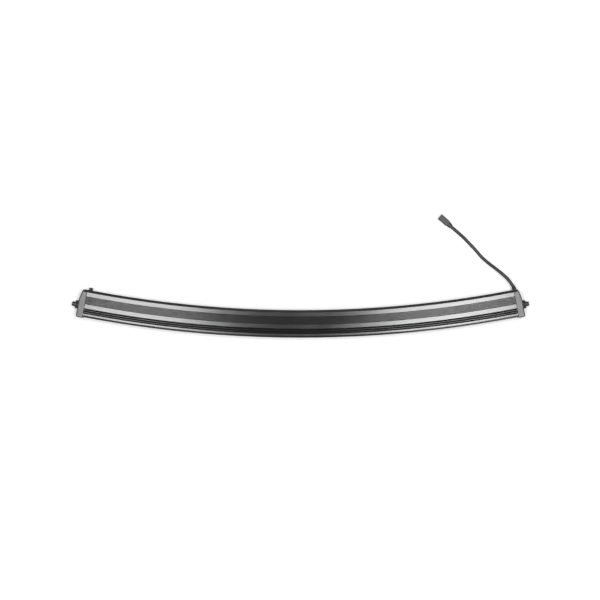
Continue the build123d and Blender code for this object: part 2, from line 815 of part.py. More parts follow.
# ---------------------------------------------------------------- cable entry: leaning boot, stem and inner nut
boot_base = entry.offset(entry_boss_height)
half_lean = radians(boot_lean / 2)
boot_reach = boot_base.x_dir * sin(half_lean) + boot_base.z_dir * cos(half_lean)
tip_normal = boot_base.x_dir * sin(2 * half_lean) + boot_base.z_dir * cos(2 * half_lean)
boot_tip = Plane(origin=boot_base.origin + boot_reach * boot_length, x_dir=(0, 0, 1), z_dir=tip_normal)
stem_length = entry_boss_height + bar_depth - pocket_back + gland_nut_thickness
with BuildPart() as cable_boot:
    with BuildSketch(Plane(origin=boot_base.origin, x_dir=(0, 0, 1), z_dir=boot_base.z_dir)):
        Circle(boot_base_radius)
    with BuildSketch(boot_tip):
        Circle(boot_tip_radius)
    loft()
    with BuildSketch(boot_base):
        Circle(entry_bore_radius - boot_stem_room)
    extrude(amount=-stem_length)
export(cable_boot, "cable_boot")

with BuildPart() as gland_nut:
    with BuildSketch(boot_base.offset(-stem_length + gland_nut_thickness)):
        RegularPolygon(gland_nut_radius, 6)
        Circle(entry_bore_radius, mode=Mode.SUBTRACT)
    extrude(amount=-gland_nut_thickness)
export(gland_nut, "gland_nut")

# Two wires run from the stem's inner end through the pocket and along the cavity to the right driver.
stem_end = entry.origin - entry.z_dir * (bar_depth - pocket_back + gland_nut_thickness)
lead_turns = [
    station(half_angle, pocket_front + 9).origin + right_end.x_dir * entry_offset,
    station(half_angle - 0.4, lead_depth + 2).origin,
    station(half_angle - 1.5, lead_depth).origin,
    station(half_angle - 2.6, lead_depth).origin,
    station(half_angle - 3.7, lead_depth).origin,
    station(driver_angle + driver_half_angle + degrees(seating_gap / front_radius), lead_depth).origin,
]
with BuildPart() as supply_leads:
    for height in lead_heights:
        with BuildLine():
            lead_path = FilletPolyline(
                Vector(stem_end.X, stem_end.Y, height),
                *[Vector(point.X, point.Y, height) for point in lead_turns],
                radius=6,
            )
        with BuildSketch(Plane(origin=lead_path @ 0, z_dir=lead_path % 0)):
            Circle(lead_radius)
        sweep(path=lead_path)
export(supply_leads, "supply_leads")

# ---------------------------------------------------------------- power lead: straight runs and tangent arcs
tip = boot_tip.origin
route = [tip, tip + tip_normal * cable_first_run]
route += [Vector(tip.X + x, tip.Y + y, z) for x, y, z in cable_route]
runs = [(end - start).length for start, end in zip(route, route[1:])]
turns = [
    (middle - start).get_angle(end - middle) for start, middle, end in zip(route, route[1:], route[2:])
]
bend_radii = [
    0.45 * min(before, after) / tan(radians(turn) / 2) for before, after, turn in zip(runs, runs[1:], turns)
]
with BuildPart() as power_cable:
    with BuildLine():
        cable_path = FilletPolyline(*route, radius=bend_radii)
    with BuildSketch(Plane(origin=cable_path @ 0, z_dir=cable_path % 0)) as cable_section:
        Circle(cable_radius)
    sweep(path=cable_path)
export(power_cable, "power_cable")

print("cable points", [tuple(round(value, 2) for value in point) for point in route])
print("cable runs", [round(run, 1) for run in runs])
print("cable turns", [round(turn, 1) for turn in turns])
print("cable bend radii", [round(radius, 1) for radius in bend_radii])
print("cable length", round(cable_path.length, 1))
swept_volume = cable_section.sketch.area * cable_path.length
print("cable volume", round(power_cable.part.volume), "section times length", round(swept_volume))

# ---------------------------------------------------------------- two-pin plug on the lead's end
cable_end = route[-1]
plug_axis = (route[-1] - route[-2]).normalized()
plug_side = plug_axis.cross(Vector(0, 0, 1))
plug_base = Plane(origin=cable_end, x_dir=plug_side, z_dir=plug_axis)
plug_rear = plug_base.offset(backshell_length)
plug_front = plug_rear.offset(plug_length)
with BuildPart() as plug_backshell:
    with BuildSketch(plug_base):
        Circle(backshell_radius)
    with BuildSketch(plug_rear):
        RectangleRounded(plug_width - 2, plug_height - 2, plug_rounding + 2)
    loft()
export(plug_backshell, "plug_backshell")

with BuildPart() as plug_body:
    with BuildSketch(plug_rear):
        RectangleRounded(plug_width, plug_height, plug_rounding)
    extrude(amount=plug_length)
    with BuildSketch(plug_front):
        RectangleRounded(plug_width - 2 * plug_wall, plug_height - 2 * plug_wall, plug_rounding - 0.5)
    extrude(amount=-plug_socket_depth, mode=Mode.SUBTRACT)
export(plug_body, "plug_body")

socket_floor = plug_front.offset(-plug_socket_depth)
with BuildPart() as plug_lock:
    with BuildSketch(socket_floor):
        RectangleRounded(
            plug_width - 2 * plug_wall - 1.6, plug_height - 2 * plug_wall - 1.6, plug_rounding - 0.5
        )
        with GridLocations(plug_pin_spacing, 0, 2, 1):
            Circle(plug_pin_radius + small_screw_clearance, mode=Mode.SUBTRACT)
    extrude(amount=plug_lock_thickness)
export(plug_lock, "plug_lock")

with BuildPart() as plug_seal:
    with BuildSketch(socket_floor):
        RectangleRounded(plug_width - 2 * plug_wall, plug_height - 2 * plug_wall, plug_rounding - 0.5)
        RectangleRounded(
            plug_width - 2 * plug_wall - 1.4, plug_height - 2 * plug_wall - 1.4, plug_rounding - 0.5,
            mode=Mode.SUBTRACT,
        )
    extrude(amount=plug_seal_thickness)
export(plug_seal, "plug_seal")

with BuildPart() as plug_pins:
    with BuildSketch(socket_floor):
        with GridLocations(plug_pin_spacing, 0, 2, 1):
            Circle(plug_pin_radius)
    extrude(amount=plug_pin_length - 7)
    chamfer(plug_pins.faces().sort_by(Axis(cable_end, plug_axis))[-2:].edges(), 0.5)
export(plug_pins, "plug_pins")

# ---------------------------------------------------------------- breather
breather_seat = rearward(breather_angle, bar_depth - seating_gap, mid_height)
breather_base = breather_seat.offset(2 * seating_gap)
with BuildPart() as breather_body:
    with BuildSketch(breather_base):
        RegularPolygon(breather_radius, 6)
    extrude(amount=breather_base_height)
    with BuildSketch(breather_base):
        Circle(breather_seal_radius + 0.1)
        Circle(breather_thread_radius, mode=Mode.SUBTRACT)
    extrude(amount=breather_seal_thickness, mode=Mode.SUBTRACT)
    with BuildSketch(breather_base.offset(breather_base_height)):
        Circle(breather_knob_radius - 1)
    extrude(amount=1.5)
    with BuildSketch(breather_base):
        Circle(breather_thread_radius)
    extrude(amount=-breather_thread_length)
    with BuildSketch(breather_base.offset(breather_base_height + 1.5)):
        Circle(breather_bore_radius)
    extrude(amount=-breather_base_height - breather_thread_length - 2, mode=Mode.SUBTRACT)
export(breather_body, "breather_body")

with BuildPart() as breather_seal:
    with BuildSketch(breather_base):
        Circle(breather_seal_radius)
        Circle(breather_thread_radius + 0.1, mode=Mode.SUBTRACT)
    extrude(amount=breather_seal_thickness)
export(breather_seal, "breather_seal")

membrane_seat = breather_base.offset(breather_base_height + 1.5)
with BuildPart() as breather_membrane:
    with BuildSketch(membrane_seat):
        Circle(membrane_radius)
    extrude(amount=membrane_thickness)
export(breather_membrane, "breather_membrane")

with BuildPart() as breather_knob:
    with BuildSketch(breather_base.offset(breather_base_height)):
        Circle(breather_knob_radius)
    extrude(amount=breather_knob_height)
    fillet(breather_knob.faces().sort_by(Axis(arc_centre, breather_base.z_dir))[-1].edges(), 1.0)
    with BuildSketch(breather_base.offset(breather_base_height)):
        Circle(breather_knob_radius - 1 + thread_clearance)
    extrude(amount=1.5 + membrane_thickness + membrane_room, mode=Mode.SUBTRACT)
export(breather_knob, "breather_knob")
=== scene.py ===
"""Looks for a curved LED light bar: finishes, screws, bolts, emitters, power lead and studio."""

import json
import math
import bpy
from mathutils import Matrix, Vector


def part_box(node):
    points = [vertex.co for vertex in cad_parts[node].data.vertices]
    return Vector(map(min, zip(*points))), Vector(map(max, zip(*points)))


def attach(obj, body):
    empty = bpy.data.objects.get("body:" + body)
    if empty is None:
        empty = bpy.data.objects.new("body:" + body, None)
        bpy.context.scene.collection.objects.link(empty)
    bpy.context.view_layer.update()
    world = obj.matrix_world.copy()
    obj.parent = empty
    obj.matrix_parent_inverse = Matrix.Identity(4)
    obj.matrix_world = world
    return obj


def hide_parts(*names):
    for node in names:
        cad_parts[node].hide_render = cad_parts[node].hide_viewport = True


bl_info = {
    "name": "Curved Light Bar",
    "version": (1, 0, 0),
    "blender": (4, 5, 0),
    "location": "3D View > Sidebar > Light Bar",
    "description": "Builds the finishes, fasteners, lamps, lead and studio of a curved light bar",
    "category": "Object",
}

import bmesh
import bpy
from mathutils import Matrix, Vector

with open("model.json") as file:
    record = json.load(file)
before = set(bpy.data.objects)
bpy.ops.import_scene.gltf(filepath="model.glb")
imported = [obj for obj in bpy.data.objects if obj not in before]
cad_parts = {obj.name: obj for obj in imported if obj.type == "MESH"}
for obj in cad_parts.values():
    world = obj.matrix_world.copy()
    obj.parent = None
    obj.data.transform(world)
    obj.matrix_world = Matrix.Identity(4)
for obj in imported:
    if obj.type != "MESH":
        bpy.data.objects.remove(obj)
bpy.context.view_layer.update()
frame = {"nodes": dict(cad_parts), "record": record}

# ---------------------------------------------------------------- places read from the frame, in metres
FRONT_RADIUS = 3.280
BAR_FRONT = min(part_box("top_bezel")[0].y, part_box("bottom_bezel")[0].y)
BAR_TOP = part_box("housing")[1].z
MID_HEIGHT = BAR_TOP / 2
ARC_CENTRE = Vector((0, BAR_FRONT + FRONT_RADIUS, 0))
JOINTS = {joint["name"]: joint for joint in frame["record"]["behaviour"]["joints"]}
MOUNTS = {mount["name"]: mount for mount in frame["record"]["mounts"]}
SIDES = ("left", "right")

# the power lead's route, from the strain relief's tip to the plug's backshell
LEAD_DIAMETER = 0.0093
LEAD_ROUTE = (
    (0.60460, 0.11461, 0.02500),
    (0.59375, 0.13141, 0.02500),
    (0.57780, 0.14701, 0.02280),
    (0.55830, 0.16341, 0.01720),
    (0.53720, 0.17961, 0.01000),
    (0.51670, 0.19781, 0.00465),
    (0.49980, 0.21851, 0.00465),
    (0.48280, 0.23601, 0.00465),
    (0.46570, 0.25431, 0.00465),
    (0.44620, 0.27061, 0.00825),
    (0.43010, 0.28481, 0.00825),
)


# ---------------------------------------------------------------- settings
def length(name, description, default):
    """A size in metres, shown to a hundredth of a millimetre."""
    return bpy.props.FloatProperty(
        name=name, description=description, default=default, unit="LENGTH", precision=5)


def color(name, description, default):
    """A colour without alpha."""
    return bpy.props.FloatVectorProperty(
        name=name, description=description, default=default, subtype="COLOR", size=3)


def brightness(name, description, default):
    """A light's radiance or strength."""
    return bpy.props.FloatProperty(name=name, description=description, default=default, min=0.0)


def count(name, description, default):
    return bpy.props.IntProperty(name=name, description=description, default=default, min=3)


class LightBarSizes(bpy.types.PropertyGroup):
    """Sizes of the pieces made here."""

    bezel_head_radius: length("Bezel Screw Head Radius", "Radius of the small screw heads", 0.0024)
    bezel_head_height: length("Bezel Screw Head Height", "Height of the small screw heads", 0.0016)
    bezel_shank_radius: length("Bezel Screw Shank Radius", "Radius of the small shanks", 0.00125)
    bezel_shank_length: length("Bezel Screw Length", "Length of the small screws under their heads", 0.0118)
    bezel_socket: length("Bezel Screw Socket", "Size of the key for the small screws", 0.0018)
    cap_head_radius: length("Cap Screw Head Radius", "Radius of the end-cap screw heads", 0.0036)
    cap_head_height: length("Cap Screw Head Height", "Height of the end-cap screw heads", 0.0028)
    cap_shank_radius: length("Cap Screw Shank Radius", "Radius of the end-cap screws' shanks", 0.0020)
    cap_shank_length: length("Cap Screw Length", "Length of the end-cap screws under their heads", 0.0220)
    cap_socket: length("Cap Screw Socket", "Size of the key for the end-cap screws", 0.0034)
    bolt_head_radius: length("Bolt Head Radius", "Radius of the mounting bolt's head over its knurl", 0.0065)
    bolt_head_height: length("Bolt Head Height", "Height of the mounting bolt's head", 0.0080)
    bolt_radius: length("Bolt Radius", "Radius over the mounting bolt's thread", 0.0040)
    bolt_length: length("Bolt Length", "Length of the mounting bolt under its head", 0.0250)
    bolt_socket: length("Bolt Socket", "Size of the key for the mounting bolts", 0.0060)
    thread_pitch: length("Thread Pitch", "Travel of the mounting bolt in one turn", 0.00125)
    knurl_count: count("Knurl Count", "Flutes around a mounting bolt's head", 36)
    washer_thickness: length("Washer Thickness", "Thickness of the flat and spring washers", 0.0020)
    spring_inner: length("Spring Washer Bore", "Inner radius of the spring washers", 0.0042)
    spring_outer: length("Spring Washer Radius", "Outer radius of the spring washers", 0.0074)
    relief_base: length("Strain Relief Base", "Radius of the strain relief at the end cap", 0.0072)
    relief_tip: length("Strain Relief Tip", "Radius of the strain relief at the lead", 0.0053)
    relief_length: length("Strain Relief Length", "Length of the strain relief", 0.0090)
    rib_count: count("Strain Relief Ribs", "Flex ribs along the lead's strain relief", 4)
    emitter_side: length("Emitter Side", "Side of an emitter's square base", 0.0040)
    emitter_thickness: length("Emitter Thickness", "Thickness of an emitter's base", 0.0008)
    dome_radius: length("Dome Radius", "Radius of the clear dome over an emitter", 0.0016)
    breather_radius: length("Breather Radius", "Radius of the breather's cap between its ribs", 0.0050)
    breather_height: length("Breather Height", "Height of the breather's cap", 0.0055)
    grip_count: count("Breather Grip Ribs", "Grip ribs around the breather's cap", 24)


class LightBarFinish(bpy.types.PropertyGroup):
    """Colours and gloss that a maker would change."""

    coat_color: color("Coat Color", "Powder coat on the housing, caps and bezels", (0.018, 0.018, 0.0195))
    coat_roughness: bpy.props.FloatProperty(
        name="Coat Roughness", description="Roughness of the satin powder coat",
        default=0.11, subtype="FACTOR", min=0, max=1)
    rubber_color: color("Rubber Color", "Gaskets and washers", (0.020, 0.020, 0.021))
    lens_color: color("Lens Tint", "Tint of the clear front lens", (0.95, 0.97, 0.98))
    phosphor_color: color("Phosphor Color", "Phosphor of the unlit emitters", (0.86, 0.70, 0.16))


class LightBarStudio(bpy.types.PropertyGroup):
    """Camera, floor and lights."""

    camera_height: length("Camera Height", "Camera above the bar's top", 5.0)
    view_width: length("View Width", "Width of the view at the bar's top", 1.698)
    floor_size: length("Floor Size", "Side of the square floor", 40.0)
    floor_color: color("Floor Color", "Pale studio floor", (0.86, 0.86, 0.86))
    floor_glow: brightness("Floor Glow", "Light given off by the floor itself", 0.30)
    sky_strength: brightness("Sky Strength", "Even light from all round", 0.08)
    left_radiance: brightness("Left Panel", "Radiance of the soft panel over the left end", 17.0)
    right_radiance: brightness("Right Panel", "Radiance of the soft panel over the right end", 20.5)
    front_right_radiance: brightness("Front Right Panel", "Radiance of the panel before the right half", 2.0)
    front_left_radiance: brightness("Front Left Panel", "Radiance of the panel before the left half", 0.6)
    back_radiance: brightness("Back Panel", "Radiance of the broad panel behind the bar", 0.05)


# ---------------------------------------------------------------- node helpers
def feed(tree, node, inputs):
    """Links or sets each given input of a node."""
    for key, value in inputs.items():
        if isinstance(value, bpy.types.NodeSocket):
            tree.links.new(value, node.inputs[key])
        else:
            node.inputs[key].default_value = value


def wire(tree, kind, inputs=None, **settings):
    """Adds a node, sets its settings, and links or sets each given input."""
    node = tree.nodes.new(kind)
    for key, value in settings.items():
        setattr(node, key, value)
    feed(tree, node, inputs or {})
    return node


def calc(tree, operation, first, second=0.0, third=0.0, clamp=False):
    """One Math node's result."""
    node = wire(tree, "ShaderNodeMath", {0: first, 1: second, 2: third}, operation=operation, use_clamp=clamp)
    return node.outputs[0]


def mixed(tree, factor, first, second, blend_type="MIX"):
    """A colour between two, by a factor."""
    inputs = {0: factor, 6: first, 7: second}
    return wire(tree, "ShaderNodeMix", inputs, data_type="RGBA", blend_type=blend_type).outputs[2]


def ranged(tree, value, low, high, to_low=0.0, to_high=1.0):
    """A value mapped from one range to another, and held there."""
    inputs = {"Value": value, "From Min": low, "From Max": high, "To Min": to_low, "To Max": to_high}
    return wire(tree, "ShaderNodeMapRange", inputs).outputs["Result"]


def scaled(tree, color, factor):
    return wire(tree, "ShaderNodeVectorMath", {0: color, "Scale": factor}, operation="SCALE").outputs[0]


def object_place(tree):
    """Place on the object, in metres."""
    return wire(tree, "ShaderNodeTexCoord").outputs["Object"]


def noise(tree, vector, scale, detail=2.0, roughness=0.5):
    inputs = {"Vector": vector, "Scale": scale, "Detail": detail, "Roughness": roughness}
    return wire(tree, "ShaderNodeTexNoise", inputs).outputs["Fac"]


def opaque(color):
    return (*color[:3], 1.0)


def shared_group(name, inputs, outputs):
    """Makes the function below it give its shader group, which it fills the first time."""
    kinds = {"color": "NodeSocketColor", "value": "NodeSocketFloat", "vector": "NodeSocketVector"}

    def decorate(fill):
        def get():
            if name in bpy.data.node_groups:
                return bpy.data.node_groups[name]
            group = bpy.data.node_groups.new(name, "ShaderNodeTree")
            sockets = group.interface.new_socket
            for label, kind, default in inputs:
                socket = sockets(name=label, in_out="INPUT", socket_type=kinds[kind])
                if default is not None:
                    socket.default_value = default
            for label, kind in outputs:
                sockets(name=label, in_out="OUTPUT", socket_type=kinds[kind])
            given = group.nodes.new("NodeGroupInput").outputs
            feed(group, group.nodes.new("NodeGroupOutput"), fill(group, given))
            return group
        return get
    return decorate


# ---------------------------------------------------------------- shared effects
@shared_group(
    "Bend Coordinates",
    [("Front Radius", "value", FRONT_RADIUS), ("Centre Y", "value", ARC_CENTRE.y)],
    [("Vector", "vector")])
def bend_coordinates(group, given):
    """Place along the bar's arc, depth behind its front and height."""
    place = object_place(group)
    split = wire(group, "ShaderNodeSeparateXYZ", {0: place}).outputs
    forward = calc(group, "SUBTRACT", given["Centre Y"], split["Y"])
    turn = calc(group, "ARCTAN2", split["X"], forward)
    reach = calc(group, "SQRT", calc(group, "MULTIPLY_ADD", forward, forward,
                                     calc(group, "MULTIPLY", split["X"], split["X"])))
    along = calc(group, "MULTIPLY", turn, given["Front Radius"])
    depth = calc(group, "SUBTRACT", given["Front Radius"], reach)
    place = wire(group, "ShaderNodeCombineXYZ", {"X": along, "Y": depth, "Z": split["Z"]})
    return {"Vector": place.outputs[0]}


@shared_group(
    "Rounded Edge",
    [("Radius", "value", 0.0005), ("Breakup", "value", 260.0), ("Amount", "value", 0.6)],
    [("Normal", "vector"), ("Mask", "value")])
def rounded_edge(group, given):
    """A normal softened at the edges, and a mask of the worn spots on them."""
    soft = wire(group, "ShaderNodeBevel", {"Radius": given["Radius"]}, samples=4).outputs["Normal"]
    sharp = wire(group, "ShaderNodeNewGeometry").outputs["Normal"]
    facing_both = wire(group, "ShaderNodeVectorMath", {0: soft, 1: sharp}, operation="DOT_PRODUCT")
    edge = ranged(group, facing_both.outputs["Value"], 0.995, 0.85)
    place = object_place(group)
    patches = ranged(group, noise(group, place, given["Breakup"], 3.0), 0.42, 0.62)
    worn = calc(group, "MULTIPLY", calc(group, "MULTIPLY", edge, patches), given["Amount"])
    return {"Normal": soft, "Mask": worn}


@shared_group(
    "Powder Coat",
    [("Vector", "vector", None), ("Color", "color", (0.03, 0.03, 0.03, 1)),
     ("Fleck Color", "color", (0.09, 0.09, 0.095, 1)), ("Roughness", "value", 0.3),
     ("Peel Scale", "value", 850.0), ("Grain Scale", "value", 5200.0)],
    [("Color", "color"), ("Roughness", "value"), ("Height", "value")])
def powder_coat(group, given):
    """Orange peel, flecks and broad patches of a sprayed coat."""
    peel = noise(group, given["Vector"], given["Peel Scale"], 1.0)
    grain = noise(group, given["Vector"], given["Grain Scale"], 1.0)
    broad = noise(group, given["Vector"], 9.0, 4.0, 0.6)
    flecks = ranged(group, grain, 0.60, 0.74, 0.0, 0.5)
    tinted = mixed(group, flecks, given["Color"], given["Fleck Color"])
    tone = ranged(group, broad, 0.3, 0.7, 0.86, 1.14)
    toned = scaled(group, tinted, tone)
    spread = ranged(group, broad, 0.25, 0.75, -0.015, 0.025)
    rough = calc(group, "ADD", given["Roughness"], calc(group, "MULTIPLY_ADD", grain, 0.03, spread))
    height = calc(group, "MULTIPLY_ADD", peel, 0.8, calc(group, "MULTIPLY", grain, 0.2))
    return {"Color": toned, "Roughness": rough, "Height": height}


@shared_group(
    "Die Lines",
    [("Vector", "vector", None), ("Fineness", "value", 2600.0), ("Stretch", "value", 3.0)],
    [("Height", "value"), ("Mask", "value")])
def die_lines(group, given):
    """Lines that the extrusion die drew along the bar."""
    scale = wire(group, "ShaderNodeCombineXYZ",
                 {"X": given["Stretch"], "Y": given["Fineness"], "Z": given["Fineness"]}).outputs[0]
    drawn = wire(group, "ShaderNodeVectorMath", {0: given["Vector"], 1: scale}, operation="MULTIPLY")
    lines = noise(group, drawn.outputs[0], 1.0, 3.0, 0.65)
    return {"Height": lines, "Mask": ranged(group, lines, 0.35, 0.65)}


@shared_group(
    "Painted Groove Shade",
    [("Vector", "vector", None), ("Zone Start", "value", 0.0095), ("Zone End", "value", 0.0258),
     ("Top", "value", BAR_TOP), ("Depth", "value", 0.0022)],
    [("Mask", "value")])
def painted_groove_shade(group, given):
    """Mask of the grooves behind the bezel, below the top and bottom faces: painted shade darkens them, and
    the coat there is also thin and dull.
    """
    split = wire(group, "ShaderNodeSeparateXYZ", {0: given["Vector"]}).outputs
    from_top = calc(group, "SUBTRACT", given["Top"], split["Z"])
    inward = calc(group, "MINIMUM", split["Z"], from_top)
    deep = wire(group, "ShaderNodeMapRange",
                {"Value": inward, "From Min": 0.0004, "From Max": given["Depth"]}).outputs["Result"]
    after = calc(group, "GREATER_THAN", split["Y"], given["Zone Start"])
    before = calc(group, "LESS_THAN", split["Y"], given["Zone End"])
    zone = calc(group, "MULTIPLY", after, before)
    return {"Mask": calc(group, "MULTIPLY", deep, zone)}


@shared_group(
    "Settled Dust",
    [("Color", "color", (0.5, 0.5, 0.5, 1)), ("Dust Color", "color", (0.36, 0.35, 0.33, 1)),
     ("Amount", "value", 0.05)],
    [("Color", "color"), ("Mask", "value")])
def settled_dust(group, given):
    """Dust on what faces up."""
    up = wire(group, "ShaderNodeSeparateXYZ", {0: wire(group, "ShaderNodeNewGeometry").outputs["Normal"]})
    place = object_place(group)
    clouds = ranged(group, noise(group, place, 24.0, 5.0, 0.62), 0.35, 0.72)
    specks = ranged(group, noise(group, place, 2400.0, 1.0), 0.62, 0.72)
    lying = calc(group, "MULTIPLY", calc(group, "MAXIMUM", up.outputs["Z"], 0.0),
                 calc(group, "MULTIPLY_ADD", specks, 0.8, calc(group, "MULTIPLY", clouds, 0.5)), clamp=True)
    amount = calc(group, "MULTIPLY", lying, given["Amount"])
    return {"Color": mixed(group, amount, given["Color"], given["Dust Color"]), "Mask": amount}


@shared_group(
    "Moulded Grain",
    [("Scale", "value", 2600.0), ("Color", "color", (0.03, 0.03, 0.03, 1)),
     ("Roughness", "value", 0.5), ("Mottle", "value", 0.1)],
    [("Color", "color"), ("Roughness", "value"), ("Height", "value")])
def moulded_grain(group, given):
    """Fine pits and tone of moulded rubber or plastic."""
    place = object_place(group)
    pits = wire(group, "ShaderNodeTexVoronoi", {"Vector": place, "Scale": given["Scale"]},
                feature="SMOOTH_F1").outputs["Distance"]
    fine = noise(group, place, calc(group, "MULTIPLY", given["Scale"], 2.2), 2.0)
    broad = noise(group, place, 55.0, 4.0, 0.6)
    tone = calc(group, "MULTIPLY_ADD", calc(group, "SUBTRACT", broad, 0.5), given["Mottle"], 1.0)
    toned = scaled(group, given["Color"], tone)
    rough = calc(group, "ADD", given["Roughness"], ranged(group, fine, 0.3, 0.7, -0.06, 0.06))
    return {
        "Color": toned,
        "Roughness": rough,
        "Height": calc(group, "MULTIPLY_ADD", pits, 0.6, calc(group, "MULTIPLY", fine, 0.4)),
    }


@shared_group(
    "Machined Metal",
    [("Color", "color", (0.6, 0.6, 0.6, 1)), ("Stain Color", "color", (0.4, 0.38, 0.35, 1)),
     ("Roughness", "value", 0.3), ("Scratch Scale", "value", 1800.0)],
    [("Color", "color"), ("Roughness", "value"), ("Height", "value")])
def machined_metal(group, given):
    """Scratches and stains of turned or plated metal."""
    place = object_place(group)
    fine = noise(group, place, given["Scratch Scale"], 4.0, 0.7)
    broad = noise(group, place, 160.0, 4.0, 0.6)
    stains = ranged(group, broad, 0.48, 0.75, 0.0, 0.55)
    rough = calc(group, "ADD", given["Roughness"], ranged(group, fine, 0.3, 0.7, -0.08, 0.10))
    return {
        "Color": mixed(group, stains, given["Color"], given["Stain Color"]),
        "Roughness": rough,
        "Height": fine,
    }


# ---------------------------------------------------------------- materials
def new_material(name):
    """A material, its tree and its Principled shader."""
    material = bpy.data.materials.new(name)
    material.use_nodes = True
    return material, material.node_tree, material.node_tree.nodes["Principled BSDF"]


def grouped(tree, group, inputs=None):
    return wire(tree, "ShaderNodeGroup", inputs, node_tree=group).outputs


def bumped(tree, shader, height, strength, distance, normal=None):
    """Feeds a height, and a softened normal under it, to the shader's Normal."""
    inputs = {"Height": height, "Strength": strength, "Distance": distance}
    if normal:
        inputs["Normal"] = normal
    feed(tree, shader, {"Normal": wire(tree, "ShaderNodeBump", inputs).outputs["Normal"]})


def coated_metal(name, color, roughness, lines=0.0, peel=0.000008, dust=0.03, shade_grooves=False):
    """Satin powder coat, with the drawn lines of an extrusion showing through where there are any."""
    material, tree, shader = new_material(name)
    bend = grouped(tree, bend_coordinates())["Vector"]
    coat = grouped(tree, powder_coat(), {"Vector": bend, "Color": opaque(color), "Roughness": roughness})
    edge = grouped(tree, rounded_edge(), {"Radius": 0.0006, "Amount": 0.35})
    color = mixed(tree, edge["Mask"], coat["Color"], (0.10, 0.10, 0.104, 1))
    height, rough = coat["Height"], coat["Roughness"]
    if lines:
        drawn = grouped(tree, die_lines(), {"Vector": bend})
        height = calc(tree, "MULTIPLY_ADD", drawn["Height"], lines, height)
        rough = calc(tree, "ADD", rough, calc(tree, "MULTIPLY", drawn["Mask"], 0.03 * lines))
    # Painted shade in the grooves: their colour is darkened towards black, and their roughness is raised for
    # the thin, dull coat there.
    if shade_grooves:
        groove_shade_mask = grouped(tree, painted_groove_shade(), {"Vector": bend})["Mask"]
        color = mixed(tree, groove_shade_mask, color, (0.006, 0.006, 0.006, 1))
        rough = calc(tree, "MULTIPLY_ADD", groove_shade_mask, 0.4, rough)
    dusty = grouped(tree, settled_dust(), {"Color": color, "Amount": dust})
    rough = calc(tree, "MULTIPLY_ADD", dusty["Mask"], 0.5, rough)
    feed(tree, shader, {"Base Color": dusty["Color"], "Roughness": rough})
    bumped(tree, shader, height, 0.35, peel, edge["Normal"])
    return material


def moulded(name, color, roughness, scale=2600.0, depth=0.00006, mottle=0.25, dust=0.08, wear=0.2):
    """Moulded rubber or plastic with a fine surface grain."""
    material, tree, shader = new_material(name)
    skin = grouped(tree, moulded_grain(), {
        "Scale": scale, "Color": opaque(color), "Roughness": roughness, "Mottle": mottle})
    edge = grouped(tree, rounded_edge(), {"Radius": 0.0004, "Amount": wear})
    lighter = opaque([min(1.0, value * 1.8 + 0.02) for value in color])
    worn = mixed(tree, edge["Mask"], skin["Color"], lighter)
    dusty = grouped(tree, settled_dust(), {"Color": worn, "Amount": dust})
    feed(tree, shader, {"Base Color": dusty["Color"], "Roughness": skin["Roughness"]})
    bumped(tree, shader, skin["Height"], 0.4, depth, edge["Normal"])
    return material


def bare_metal(name, color, stain, roughness, scale=1800.0):
    """Turned, plated or blackened metal."""
    material, tree, shader = new_material(name)
    skin = grouped(tree, machined_metal(), {
        "Color": opaque(color), "Stain Color": opaque(stain), "Roughness": roughness, "Scratch Scale": scale})
    edge = grouped(tree, rounded_edge(), {"Radius": 0.0002, "Amount": 0.4})
    brighter = opaque([min(1.0, value * 1.6 + 0.05) for value in color])
    worn = mixed(tree, edge["Mask"], skin["Color"], brighter)
    feed(tree, shader, {"Base Color": worn, "Roughness": skin["Roughness"], "Metallic": 1.0})
    bumped(tree, shader, skin["Height"], 0.3, 0.00001, edge["Normal"])
    return material


def mirror_cup(name):
    """Vacuum-metallised plastic, with the faint waves and haze of the lacquer under it."""
    material, tree, shader = new_material(name)
    place = object_place(tree)
    waves = noise(tree, place, 130.0, 2.0)
    haze = noise(tree, place, 700.0, 3.0)
    tint = mixed(tree, haze, (0.80, 0.80, 0.81, 1), (0.88, 0.88, 0.88, 1))
    rough = ranged(tree, haze, 0.3, 0.7, 0.05, 0.13)
    feed(tree, shader, {"Base Color": tint, "Roughness": rough, "Metallic": 1.0})
    bumped(tree, shader, waves, 0.15, 0.0001)
    return material


def clear(name, color, ior):
    """Clear plastic that lets shadow rays straight through."""
    material, tree, shader = new_material(name)
    feed(tree, shader, {
        "Base Color": opaque(color), "Roughness": 0.02, "IOR": ior, "Transmission Weight": 1.0})
    place = grouped(tree, bend_coordinates())["Vector"]
    bumped(tree, shader, noise(tree, place, 420.0, 5.0, 0.75), 0.1, 0.00002)
    straight = wire(tree, "ShaderNodeBsdfTransparent", {"Color": opaque(color)}).outputs[0]
    shadow = wire(tree, "ShaderNodeLightPath").outputs["Is Shadow Ray"]
    both = wire(tree, "ShaderNodeMixShader", {0: shadow, 1: shader.outputs[0], 2: straight})
    feed(tree, tree.nodes["Material Output"], {"Surface": both.outputs[0]})
    return material


def solder_mask(name, color):
    """Lacquered circuit board with copper tracks showing faintly through."""
    material, tree, shader = new_material(name)
    bend = grouped(tree, bend_coordinates())["Vector"]
    bricks = wire(tree, "ShaderNodeTexBrick", {
        "Vector": bend, "Scale": 120.0, "Mortar Size": 0.06, "Mortar Smooth": 0.3,
        "Color1": opaque(color), "Color2": opaque([value * 0.82 for value in color]),
        "Mortar": opaque([value * 0.6 for value in color])}).outputs
    rough = ranged(tree, noise(tree, bend, 900.0, 3.0), 0.3, 0.7, 0.26, 0.40)
    feed(tree, shader, {"Base Color": bricks["Color"], "Roughness": rough})
    bumped(tree, shader, bricks["Fac"], 0.3, 0.00004)
    return material


